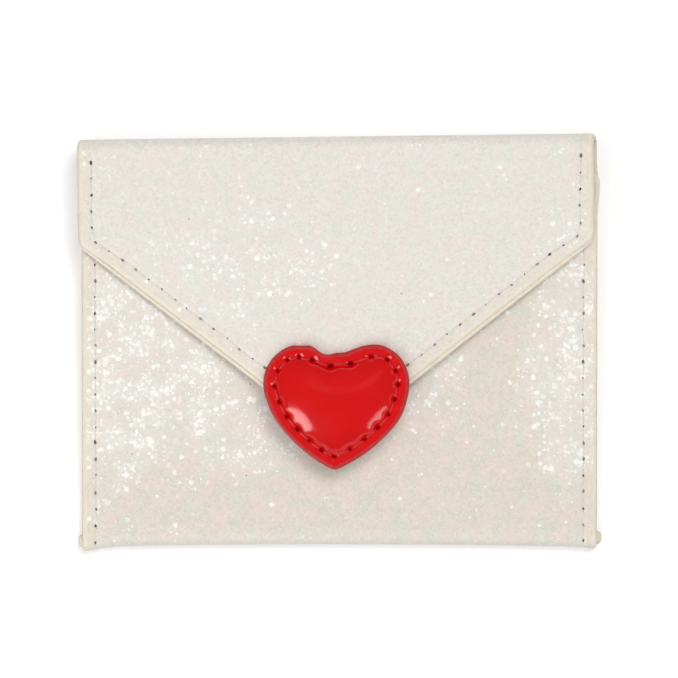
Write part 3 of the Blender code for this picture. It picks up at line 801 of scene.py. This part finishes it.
def linear(colour):
    """An sRGB hex colour as linear red, green, blue and alpha."""
    parts = [int(colour[i:i + 2], 16) / 255 for i in (0, 2, 4)]
    return [*(v / 12.92 if v <= 0.04045 else ((v + 0.055) / 1.055) ** 2.4 for v in parts), 1.0]


def feed(tree, made, inputs):
    """Values and links into a node's sockets: a list in their order, or a dict by their names or numbers."""
    pairs = inputs.items() if isinstance(inputs, dict) else enumerate(inputs)
    for socket, value in pairs:
        if isinstance(value, bpy.types.NodeSocket):
            tree.links.new(value, made.inputs[socket])
        else:
            made.inputs[socket].default_value = value


def node(tree, kind, inputs=(), take=0, stops=(), **settings):
    """A shader node with its settings, its values and links, and a colour ramp's (place, hex colour) stops.

    The result is the output that take names or numbers, or all of them where take is None.
    """
    made = tree.nodes.new("ShaderNode" + kind)
    for key, value in settings.items():
        setattr(made, key, value)
    feed(tree, made, inputs)
    if stops:
        points = made.color_ramp.elements
        while len(points) < len(stops):
            points.new(0.5)
        for point, (place, colour) in zip(points, stops):
            point.position = place
            point.color = linear(colour)
    return made.outputs if take is None else made.outputs[take]


# Settings that many nodes share: a range mapped with level ends, two colours mixed by socket 0 from 6 to 7,
# and a piece's own places on its flat strip, in millimetres. A bump of 1 stands up by 0.05 mm.
EASED = {"interpolation_type": "SMOOTHSTEP"}
COLOURS = {"data_type": "RGBA", "take": 2}
ON_SHEET = {"attribute_name": "sheet_mm", "take": "Vector"}
BUMP = 0.05 * MM


def surface(name, roughness, **sockets):
    """A new material with its Principled shader set: (material, tree, shader)."""
    made = bpy.data.materials.new(name)
    made.use_nodes = True
    shader = made.node_tree.nodes["Principled BSDF"]
    shader.inputs["Roughness"].default_value = roughness
    for key, value in sockets.items():
        shader.inputs[key.replace("_", " ")].default_value = value
    return made, made.node_tree, shader


def patch(tree, at, stray, middle, reach, most):
    """An oval patch of the sheet: most in its middle, falling to 0 at its edge, which strays in and out.

    The way from the middle is counted in reaches, and 1.6 times the stray noise is added to it.
    """
    moved = node(tree, "VectorMath", [at, (*middle, 0)], operation="SUBTRACT")
    scaled = node(tree, "VectorMath", [moved, (1 / reach[0], 1 / reach[1], 0)], operation="MULTIPLY")
    away = node(tree, "VectorMath", [scaled], "Value", operation="LENGTH")
    ragged = node(tree, "Math", [stray, 1.6, away], operation="MULTIPLY_ADD")
    return node(tree, "MapRange", [ragged, 1.1, 1.9, most, 0.0], **EASED)


def flakes(tree, at, away, across, radius):
    """Round flakes scattered over a sheet: (1 inside a flake and 0 outside, three random numbers per flake).

    away moves the scatter, across is the mean distance between flakes and radius a flake's own, in mm. Each
    flake is 0.6 to 1.15 of that radius.
    """
    moved = node(tree, "VectorMath", [at, away], operation="ADD")
    cell = node(tree, "TexVoronoi", {"Vector": moved, "Scale": 1 / across, "Randomness": 1.0}, None)
    luck = node(tree, "SeparateColor", [cell["Color"]], None)
    size = node(tree, "MapRange", [luck[2], 0.0, 1.0, 0.6 * radius / across, 1.15 * radius / across], **EASED)
    reach = node(tree, "Math", [cell["Distance"], size], operation="DIVIDE")
    return node(tree, "MapRange", [reach, 0.66, 1.1, 1.0, 0.0], **EASED), luck


# Painted glints: patches of the unfolded strip where the flakes flash white as if catching the lamps: middle,
# reach in mm, and how much
GLINT_PATCHES = (
    ((-42, -83), (27, 30), 1.0),
    ((-26, -73), (19, 17), 0.6),
    ((-10, -74), (14, 16), 0.8),
    ((16, -78), (12, 12), 0.6),
    ((49, -86), (15, 34), 0.75),
    ((4, -114), (34, 18), 0.6),
    ((-21, 78), (23, 14), 0.42),
    ((48, 75), (11, 11), 0.35),
)
# Layers of flakes: a move of the scatter, mean distance and radius in mm, and the share that flash as painted
# glints in a glint patch
FLAKES = (
    ((0, 0, 0), 1.1, 0.52, 0.95),
    ((31.7, 12.9, 0), 1.25, 0.56, 0.85),
    ((5.3, 71.1, 0), 0.62, 0.28, 0.75),
)


def binder(tree, at, ways, rim, near, fine):
    """The colour between the flakes: a pale ground with pinkish and greenish clouds of 4.5 mm, a cooler haze
    of 3 mm, a warmer, darker front that is warmed half as much in the painted glint patches, a yellowed rim
    by the painted edge, and a grain of 0.45 mm."""
    tone = node(tree, "TexNoise", {"Vector": at, "Scale": 0.22, "Detail": 5.0, "Roughness": 0.66})
    above = [(0.37, "EEE1DB"), (0.46, "EBE5DD"), (0.53, "EAE6DE"), (0.63, "E5E6DB")]
    below = [(0.37, "E9D5C8"), (0.46, "E4D5C6"), (0.53, "DED5C5"), (0.63, "D7D4C5")]
    cool = node(tree, "TexNoise", {"Vector": at, "Scale": 0.33, "Detail": 2.0})
    cool = node(tree, "MapRange", [cool, 0.55, 0.68, 0.0, 0.5], **EASED)
    ground = node(tree, "ValToRGB", [tone], stops=above)
    ground = node(tree, "Mix", {0: cool, 6: ground, 7: linear("E8E4E1")}, **COLOURS)
    front = node(tree, "MapRange", [ways, -42.0, -50.0, 0.0, 0.85], **EASED)
    # 1 away from the painted glint patches and 0.5 in their middles: the front's warmer, darker ground is
    # weaker where the painted glints lie
    outside_glints = node(tree, "MapRange", [near, 0.0, 0.8, 1.0, 0.5], **EASED)
    warm = node(tree, "Math", [front, outside_glints], operation="MULTIPLY")
    below = node(tree, "ValToRGB", [tone], stops=below)
    ground = node(tree, "Mix", {0: warm, 6: ground, 7: below}, **COLOURS)
    yellowed = node(tree, "MapRange", [rim, 2.3, 3.3, 0.5, 0.0], **EASED)
    ground = node(tree, "Mix", {0: yellowed, 6: ground, 7: linear("E8DCCA")}, **COLOURS)
    grains = [(0.0, "C6C1B4"), (0.3, "E4DED3"), (0.75, "F0EBE2"), (1.0, "FFFDF6")]
    grain = node(tree, "ValToRGB", [fine[0]], stops=grains)
    return node(tree, "Mix", {0: 0.24, 6: ground, 7: grain}, **COLOURS)


def glitter():
    """Glitter film on imitation leather: polyester flakes in a clear binder over a cream ground.

    Round flakes of about 1 mm lie among finer ones of 0.5 mm. Each has its own luck; the ones that flash are
    painted glints, white in the base colour and crowded in patches where the flakes catch the lamps, and the
    rest stay hidden in the binder. The grain also tilts the surface and dulls it.
    """
    made, tree, shader = surface("glitter_coated_leather", 0.42, IOR=1.5)
    place = node(tree, "Attribute", **ON_SHEET)
    at = node(tree, "VectorMath", [place, (1, 1, 0)], operation="MULTIPLY")
    _, ways, rim = node(tree, "SeparateXYZ", [place], None)
    glint_clumps = node(tree, "TexNoise", {"Vector": at, "Scale": 0.2, "Detail": 4.0, "Roughness": 0.6})
    stray = node(tree, "TexNoise", {"Vector": at, "Scale": 0.07, "Detail": 3.0})
    # The painted glint patches, 1 in their middles, where the flakes flash as if catching the lamps
    near = 0.0
    for spot in GLINT_PATCHES:
        near = node(tree, "Math", [near, patch(tree, at, stray, *spot)], operation="MAXIMUM")
    glint_clump = node(tree, "MapRange", [glint_clumps, 0.42, 0.58, 0.25, 1.0], **EASED)
    # Painted glints: how likely the flakes flash, the glint patches thinned by random clumps
    glint_region = node(tree, "Math", [near, glint_clump], operation="MULTIPLY")
    tint = node(tree, "TexVoronoi", {"Vector": at, "Scale": 2.2}, "Color")
    fine = node(tree, "SeparateColor", [tint], None)
    ground = binder(tree, at, ways, rim, near, fine)
    # Painted light: the ground between the flakes is lighter in the glint patches
    glint_lightening = node(tree, "Math", [glint_region, 0.5], operation="MULTIPLY")
    ground = node(tree, "Mix", {0: glint_lightening, 6: ground, 7: linear("EEECE6")}, **COLOURS)

    # Flakes as painted glints: torn edges, and each flashes white where its luck and the glint patches add up
    # to more than 1
    base = node(tree, "MapRange", [glint_clumps, 0.45, 0.64, 0.012, 0.1], **EASED)
    frayed = node(tree, "TexNoise", {"Vector": at, "Scale": 1.6, "Detail": 1.0}, "Color")
    torn = node(tree, "VectorMath", [frayed, (0.6, 0.6, 0), at], operation="MULTIPLY_ADD")
    painted_glint = 0.0
    for away, across, radius, most in FLAKES:
        disc, luck = flakes(tree, torn, away, across, radius)
        likely = node(tree, "Math", [glint_region, most, base], operation="MULTIPLY_ADD")
        total = node(tree, "Math", [luck[0], likely], operation="ADD")
        lit = node(tree, "MapRange", [total, 1.0, 1.05, 0.0, 1.0], **EASED)
        bright = node(tree, "MapRange", [luck[1], 0.0, 0.8, 0.3, 1.0], **EASED)
        flash = node(tree, "Math", [disc, lit], operation="MULTIPLY")
        flash = node(tree, "Math", [flash, bright], operation="MULTIPLY")
        painted_glint = node(tree, "Math", [painted_glint, flash], operation="MAXIMUM")

    # Dark specks of dust 9 mm apart
    speck = node(tree, "TexVoronoi", {"Vector": at, "Scale": 0.11})
    speck = node(tree, "MapRange", [speck, 0.016, 0.03, 0.6, 0.0], **EASED)
    colour = node(tree, "Mix", {0: speck, 6: ground, 7: linear("8E8377")}, **COLOURS)
    # Painted glints: the flashing flakes are near white in the base colour
    colour = node(tree, "Mix", {0: painted_glint, 6: colour, 7: linear("FFFFFA")}, **COLOURS)
    rough = node(tree, "MapRange", [fine[1], 0.0, 1.0, 0.32, 0.55], **EASED)

    # Relief: the flakes stand up, the top fold is rippled along its length, and each grain leans its own way
    height = node(tree, "Math", [painted_glint, 0.8, fine[2]], operation="MULTIPLY_ADD")
    drawn = node(tree, "VectorMath", [at, (0.11, 0.75, 0)], operation="MULTIPLY")
    ripple = node(tree, "TexNoise", {"Vector": drawn, "Scale": 1.0, "Detail": 3.0})
    after = node(tree, "MapRange", [ways, -56.0, -48.0, 0.0, 1.0], **EASED)
    before = node(tree, "MapRange", [ways, 64.0, 54.0, 0.0, 1.0], **EASED)
    at_fold = node(tree, "Math", [after, before], operation="MULTIPLY")
    ripple = node(tree, "Math", [ripple, at_fold], operation="MULTIPLY")
    height = node(tree, "Math", [ripple, 7.0, height], operation="MULTIPLY_ADD")
    bump = node(tree, "Bump", {"Strength": 0.3, "Distance": BUMP, "Height": height})
    tilt = node(tree, "VectorMath", [tint, (0.5, 0.5, 0.5)], operation="SUBTRACT")
    tilt = node(tree, "VectorMath", {0: tilt, "Scale": 0.16}, operation="SCALE")
    facing = node(tree, "VectorMath", [bump, tilt], operation="ADD")
    facing = node(tree, "VectorMath", [facing], operation="NORMALIZE")
    feed(tree, shader, {"Base Color": colour, "Roughness": rough, "Normal": facing})
    return made


def edge_paint(name, roughness, per_mm, stops, strength):
    """Acrylic edge paint, brushed on in two coats and left to round itself: smooth, with waves of 1 to 2 mm
    that change its colour and catch the light."""
    made, tree, shader = surface(name, roughness, IOR=1.47)
    at = node(tree, "Attribute", **ON_SHEET)
    waves = node(tree, "TexNoise", {"Vector": at, "Scale": per_mm, "Detail": 2.0})
    colour = node(tree, "ValToRGB", [waves], stops=stops)
    bump = node(tree, "Bump", {"Strength": strength, "Distance": BUMP, "Height": waves})
    feed(tree, shader, {"Base Color": colour, "Normal": bump})
    return made


def leatherette(name, pale, deep):
    """Embossed polyurethane leatherette: matt, with a pebble grain of 0.5 mm pressed by a roller, painted
    shade that darkens the hollows between the pebbles, and a haze of 17 mm from pale to deep."""
    made, tree, shader = surface(name, 0.55, IOR=1.48)
    at = node(tree, "Attribute", **ON_SHEET)
    pebble = node(tree, "TexVoronoi", {"Vector": at, "Scale": 1.9}, feature="SMOOTH_F1")
    haze = node(tree, "TexNoise", {"Vector": at, "Scale": 0.06, "Detail": 4.0})
    colour = node(tree, "ValToRGB", [haze], stops=[(0.2, deep), (0.6, pale)])
    # Painted shade: the deep colour mixed into the hollows between the pebbles
    hollow_shade = node(tree, "MapRange", [pebble, 0.4, 0.9, 0.0, 0.25], **EASED)
    colour = node(tree, "Mix", {0: hollow_shade, 6: colour, 7: linear(deep)}, **COLOURS)
    bump = node(tree, "Bump", {"Strength": 0.5, "Distance": BUMP, "Height": pebble}, invert=True)
    feed(tree, shader, {"Base Color": colour, "Normal": bump})
    return made


def patent():
    """Red patent leather: pigment under a thick gloss coat, with faint orange peel about 2 mm across."""
    made, tree, shader = surface("red_patent_leather", 0.12, IOR=1.38)
    at = node(tree, "Attribute", **ON_SHEET)
    cloud = node(tree, "TexNoise", {"Vector": at, "Scale": 0.16, "Detail": 2.0})
    colour = node(tree, "ValToRGB", [cloud], stops=[(0.35, "D40206"), (0.65, "DA0408")])
    peel = node(tree, "TexNoise", {"Vector": at, "Scale": 0.55, "Detail": 1.0})
    bump = node(tree, "Bump", {"Strength": 0.25, "Distance": BUMP, "Height": peel})
    feed(tree, shader, {"Base Color": colour, "Normal": bump})
    return made


def fine_marks(tree, shader, per_mm, detail, stops):
    """Marks on a piece without a flat strip: noise on its own coordinates, coloured by stops."""
    where = node(tree, "TexCoord", take="Object")
    marks = node(tree, "TexNoise", {"Vector": where, "Scale": per_mm / MM, "Detail": detail})
    feed(tree, shader, {"Base Color": node(tree, "ValToRGB", [marks], stops=stops)})
    return marks


def thread(name, pale, deep):
    """Bonded polyester thread: two plies, pale and deep every 0.3 mm, with a soft sheen."""
    made, tree, shader = surface(name, 0.5)
    fine_marks(tree, shader, 3.0, 1.0, [(0.35, deep), (0.65, pale)])
    return made


def needle_dark(name, deep, pale):
    """The shade inside a needle hole, paler where fluff fills it. Its low IOR keeps gloss off."""
    made, tree, shader = surface(name, 0.9, IOR=1.1)
    fine_marks(tree, shader, 0.33, 2.0, [(0.38, deep), (0.66, pale)])
    return made


def plated(name, colour, roughness):
    """Pressed sheet metal, nickel-plated or bright wire, with marks from the die 0.7 mm apart."""
    made, tree, shader = surface(name, roughness, Metallic=1.0)
    marks = fine_marks(tree, shader, 1.4, 2.0, [(0.3, colour), (0.8, "D9D7D2")])
    dull = node(tree, "MapRange", [marks, 0.2, 0.8, roughness - 0.06, roughness + 0.08], **EASED)
    feed(tree, shader, {"Roughness": dull})
    return made


GLITTER = glitter()
PAINT = edge_paint("cream_edge_paint", 0.48, 0.5, [(0.3, "E9DFCD"), (0.55, "EFE6D5"), (0.75, "EDE1CC")], 0.4)
LINING = leatherette("cream_leatherette", "EDE3D2", "E2D6C2")
GUSSET = leatherette("cream_gusset_leatherette", "E9DDC9", "DCCFB9")
PATENT = patent()
RED_PAINT = edge_paint("red_edge_paint", 0.42, 1.2, [(0.35, "B41A1E"), (0.7, "C62C2E")], 0.5)
RED_BACKING = leatherette("red_leatherette", "B52126", "9D1A1F")
CREAM_THREAD = thread("cream_polyester_thread", "EAE1D4", "D8CDBE")
RED_THREAD = thread("red_polyester_thread", "DC181E", "C41016")
CREAM_HOLE = needle_dark("needle_hole", "453F37", "ABA191")
RED_HOLE = needle_dark("red_needle_hole", "6A0206", "8A0508")
NICKEL = plated("nickel_plated_steel", "C4C0B8", 0.22)
WIRE = plated("spring_steel_wire", "A9A9AA", 0.30)


# Making the pieces


def bend_piece(made, *bodies):
    """The piece's place is baked into its mesh."""
    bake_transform(made)


def stitched(a, s, start, seed):
    """Needle holes at the stitches' pitch along a line of places, each straying a little from it."""
    return uneven(walked(np.stack([a, s], -1), start, STITCH_PITCH), STITCH_STRAY, seed)


def flap_seam():
    """Lines of needle holes down both edges of the flap, ending under the heart."""
    b = np.linspace(-2.2, TIP_B + 12, 1500)
    inset = STITCH_INSET + 0.14 + 0.6 * on_slant(b)
    return [
        stitched(flap_side(np.minimum(b, 0), inset, side), FLAP_START - b, 0.0, 2 + side)
        for side in (-1, 1)
    ]


def front_seam():
    """Lines of needle holes up both sides of the front and along its mouth."""
    end = BOTTOM_ARC + FRONT_LENGTH
    corner = STITCH_INSET + 0.12
    inside = HALF_WIDTH - corner
    ways = np.linspace(BOTTOM_ARC - 0.6, end - corner, 60)
    lines = [stitched(side * inside + 0 * ways, ways, 0.07, 6 + side) for side in (-1, 1)]
    across = np.linspace(-inside, inside, 60)
    mouth = np.stack([across, end - corner + 0 * across], -1)
    return lines + [walked(mouth, 1.6, STITCH_PITCH)]


def sew(name, lines, at, bodies):
    """Threads and needle holes of a seam, on the outside and on the lining."""
    for word, face, side in (("outer", 0.0, 1), ("inner", STACK, -1)):
        sewn = [threads(holes, at, face + side * 0.13, face + side * 0.4, side) for holes in lines]
        dark = [needle_holes(holes, at, face + side * 0.1, side) for holes in lines]
        for part, made_of, found in (("thread", CREAM_THREAD, sewn), ("holes", CREAM_HOLE, dark)):
            starts = np.cumsum([0] + [len(points) for points, _ in found[:-1]])
            points = np.concatenate([points for points, _ in found])
            faces = np.concatenate([faces + start for (_, faces), start in zip(found, starts)])
            made = piece(f"{name}_{word}_{part}", (points, faces), [made_of], 60)
            bend_piece(made, *bodies)


def make_sheets():
    """The outer sheet and its lining, three pieces each, and their seams."""
    flap_lines, front_lines = flap_seam(), front_seam()
    flap_holes, front_holes = np.concatenate(flap_lines), np.concatenate(front_lines)
    nodes = {
        "pocket_sheet": ["back_panel", "front_panel"],
        "back_sheet": ["top_fold"],
        "flap_sheet": ["flap_panel"],
        "pocket_inner": ["back_lining", "front_lining"],
        "back_inner": ["top_fold_lining"],
        "flap_inner": ["flap_lining"],
    }
    for kind, word, made_of, slot in (
        ("outer", "sheet", GLITTER, "glitter_sheet"),
        ("lining", "inner", LINING, "lining"),
    ):
        for part, built, bodies in (
            ("pocket", pocket_layer(kind, front_holes), ("back", "front")),
            ("back", back_layer(kind), ("back", "spine")),
            ("flap", flap_layer(kind, flap_holes), ("spine", "flap")),
        ):
            made = piece(f"{part}_{word}", built, [made_of, PAINT])
            bend_piece(made, *bodies)
            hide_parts(*nodes[made.name])
    sew("flap_seam", flap_lines, flap_at, ("spine", "flap"))
    sew("front_seam", front_lines, pocket_at, ("back", "front"))


def make_gussets():
    """At each side: a margin with half of the rear leaf, both leaves with their crease, and a margin."""
    for side, word in ((-1, "left"), (1, "right")):
        made = piece(f"{word}_gusset_rear", shell(*gusset_half(side, -1, 0.5)), [GUSSET, PAINT])
        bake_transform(made)
        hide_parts(f"{word}_gusset_back_seam", f"{word}_gusset_rear_leaf")

        made = piece(f"{word}_gusset_fold", shell(*gusset_fold(side)), [GUSSET, PAINT])
        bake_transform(made)
        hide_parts(f"{word}_gusset_front_leaf")

        made = piece(f"{word}_gusset_front", shell(*gusset_half(side, 1, 0.02)), [GUSSET, PAINT])
        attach(made, "front")
        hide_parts(f"{word}_gusset_front_seam")


def make_gusset_ends():
    """The gussets' folded lower ends, which peep out of the bottom fold's open sides.

    Each is a rounded lump: a sphere's circles with cosines and sines drawn to a power below one.
    """
    def drawn(wave, power):
        return np.sign(wave) * np.abs(wave) ** power

    around = np.arange(28) * math.pi / 14
    up = np.linspace(-math.pi / 2, math.pi / 2, 15)[:, None]
    level = drawn(np.cos(up), 0.8)
    x = level * drawn(np.cos(around), 0.75)
    y = level * drawn(np.sin(around), 0.75)
    lump = np.stack([x, y, drawn(np.sin(up), 0.9) + 0 * x], -1)
    faces = grid_faces(15, 28, wrap=True)
    for word, centre, reach in (
        ("left", (-52.0, -41.15, 2.1), (1.3, 1.35, 0.8)),
        ("right", (53.0, -40.45, 2.1), (1.3, 1.4, 0.8)),
    ):
        points = lump * reach + centre
        built = points, faces, points * np.array([1, 1, 0])
        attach(piece(f"{word}_gusset_end", built, [GUSSET], 80), "back")


# The heart's padded face: the height of its flat rim, how far it domes above that, and where the dome starts
FLANGE_TOP = 1.78
DOME = 2.45
DOME_START = 3.0


def make_heart():
    """The backing, the padded patent face, and the red seam that joins them.

    The face is level at its rim and swells inside the seam as the soft distance grows, by 1 - (1 - d) ** 1.8.
    The seam lies in a bell-shaped seat, with a dimple at each hole and a low ridge outside it.
    """
    line = heart_line(0.0)
    seam = heart_line(2.35, 14)
    seam = np.concatenate([seam, seam[:1]])
    around = np.hypot(*np.diff(seam, axis=0).T).sum()
    count = round(around / STITCH_PITCH)
    seam = uneven(walked(seam, 0.0, around / count)[:count], 0.1, 9)
    rings = np.append(np.linspace(0, 0.34, 42), np.linspace(0.34, 1, 24)[1:])

    def face_top(places, inside, soft):
        base = float(soft[np.abs(inside - DOME_START) < 0.3].mean())
        climb = np.clip((soft - base) / (float(soft.max()) - base), 0, 1)
        swell = 0.13 + 0.87 * (1 - (1 - climb) ** 1.8)
        dome = DOME * swell * (1 - np.exp(-np.maximum(inside - DOME_START + 0.4, 0) / 0.35))
        seat = 0.16 * bell(inside, 2.4, 0.42)
        ridge = 0.07 * bell(inside, 1.15, 0.3)
        dents = pressed(places[..., 0], places[..., 1], seam, 0.85, 0.5)
        relief = (ridge - seat - dents) * smooth(inside / 0.15)
        return FLANGE_TOP - rounded(inside, 0.5, 0.34) + relief + dome

    def back_top(places, inside, soft):
        return 1.08 - rounded(inside, 0.3, 0.3)

    def at(a, b, depth):
        return heart_put(np.stack([a, b], -1), FLANGE_TOP - depth)

    face = heart_shell(face_top, 1.1, line, rings)
    made = piece("heart_face_padded", face, [PATENT, RED_PAINT])
    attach(made, "flap")
    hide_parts("heart_face", "heart_pad")

    backing = heart_shell(back_top, 0.02, line, rings)
    made = piece("heart_backing", backing, [RED_BACKING, RED_PAINT])
    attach(made, "flap")
    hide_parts("heart_back")

    closed = np.concatenate([seam, seam[:1]])
    sewn = threads(closed, at, 0.1, 0.75, 1, gap=0.34, radius=0.25)
    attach(piece("heart_thread", sewn, [RED_THREAD], 60), "flap")
    dark = needle_holes(seam, at, 0.46, 1, 0.62, 0.54)
    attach(piece("heart_needle_holes", dark, [RED_HOLE], 60), "flap")


def finish_snap():
    """The press stud's own parts get their metals."""
    for part in ("cap", "socket", "spring", "stud", "post"):
        for slot in bpy.data.objects["snap_" + part].material_slots:
            slot.material = WIRE if part == "spring" else NICKEL


# The studio: the table lies FLOOR_DROP mm below the purse, and the camera 2 m above it sees 139 mm across

FLOOR_DROP = 0.06
VIEW_HEIGHT = 2.0
VIEW_WIDTH = 0.139
FILM_WIDTH = 36.0


def floor():
    """A white sweep that the camera, and what mirrors it, sees as white, with the purse's soft shadow on it.

    It is a profile turned about the upright: level, then curving up far away.
    """
    made, tree, shader = surface("white_sweep", 0.9, Specular_IOR_Level=0.0, Emission_Color=(1, 1, 1, 1))
    rays = node(tree, "LightPath", take=None)
    seen = node(tree, "Math", [rays["Is Camera Ray"], rays["Is Glossy Ray"]], operation="MAXIMUM")
    seen = node(tree, "Math", [seen, rays["Is Transmission Ray"]], operation="MAXIMUM")
    colour = node(tree, "Mix", {0: seen, 6: linear("E4E4E4"), 7: linear("FFFFFF")}, **COLOURS)
    where = node(tree, "TexCoord", take="Object")
    away = node(tree, "VectorMath", [where], "Value", operation="LENGTH")
    glow = node(tree, "MapRange", [away, 0.2, 1.2, 0.17, 1.0], **EASED)
    glow = node(tree, "Math", [seen, glow], operation="MULTIPLY")
    feed(tree, shader, {"Base Color": colour, "Emission Strength": glow})
    reach = np.array([0.001, 0.3, 1, 3, 8, 14, 17, 18, 18.6, 19])[:, None] / MM
    rise = np.array([0, 0, 0, 0, 0, 0, 0.1, 0.6, 1.6, 3.6])[:, None] / MM - FLOOR_DROP
    turns = np.arange(64) * math.pi / 32
    points = np.stack([reach * np.cos(turns), reach * np.sin(turns), rise + 0 * turns], -1)
    mesh = mesh_from("table_top", points, grid_faces(10, 64, wrap=True)[:, ::-1])
    mesh.shade_smooth()
    mesh.materials.append(made)
    table = in_scene("table_top", mesh)


def lamp(name, at, size, level, glossy=True, diffuse=True):
    """A soft box that faces the purse: its size in metres, and how much light it adds there, 1 being all.

    Light falls off with the square of the distance and the slant at which it lands, so its power makes up for
    both.
    """
    light = bpy.data.lights.new(name, "AREA")
    light.shape = "ELLIPSE"
    light.size, light.size_y = size
    place = Vector(at)
    reach = place.length_squared + (sum(size) / 4) ** 2
    light.energy = level * math.pi ** 2 * reach * place.length / place.z
    made = in_scene(name, light)
    made.location = place
    made.rotation_mode = "QUATERNION"
    made.rotation_quaternion = (-place).to_track_quat("-Z", "Y")
    made.visible_glossy = glossy
    made.visible_diffuse = diffuse


def studio():
    """Floor, sky, lamps and a camera straight above, which sees 139 mm across at the purse."""
    floor()
    world = bpy.data.worlds.new("studio_white")
    world.use_nodes = True
    tree = world.node_tree
    tree.nodes["Background"].inputs["Color"].default_value = (1, 1, 1, 1)
    tree.nodes["Background"].inputs["Strength"].default_value = 0.34
    bpy.context.scene.world = world
    lamp("ceiling", (0.0, 0.1, 1.0), (1.6, 1.6), 0.145, glossy=False)
    lamp("key", (0.21, 0.38, 1.0), (0.5, 0.5), 0.33, glossy=False)
    lamp("fill", (-0.28, -0.46, 0.5), (0.7, 0.7), 0.19, glossy=False)
    lamp("left_box", (-0.46, -0.42, 0.35), (0.21, 0.44), 0.24, diffuse=False)
    lamp("right_box", (0.49, -0.40, 0.35), (0.22, 0.32), 0.1, diffuse=False)
    lens = bpy.data.cameras.new("camera")
    camera = in_scene("camera", lens)
    camera.location = (0.336 * MM, 0.308 * MM, VIEW_HEIGHT + 0.008)
    lens.sensor_width = FILM_WIDTH
    lens.lens = FILM_WIDTH * VIEW_HEIGHT / VIEW_WIDTH
    lens.dof.use_dof = False
    bpy.context.scene.camera = camera
    bpy.context.scene.view_settings.view_transform = "Standard"


make_sheets()
make_gussets()
make_gusset_ends()
make_heart()
finish_snap()
studio()
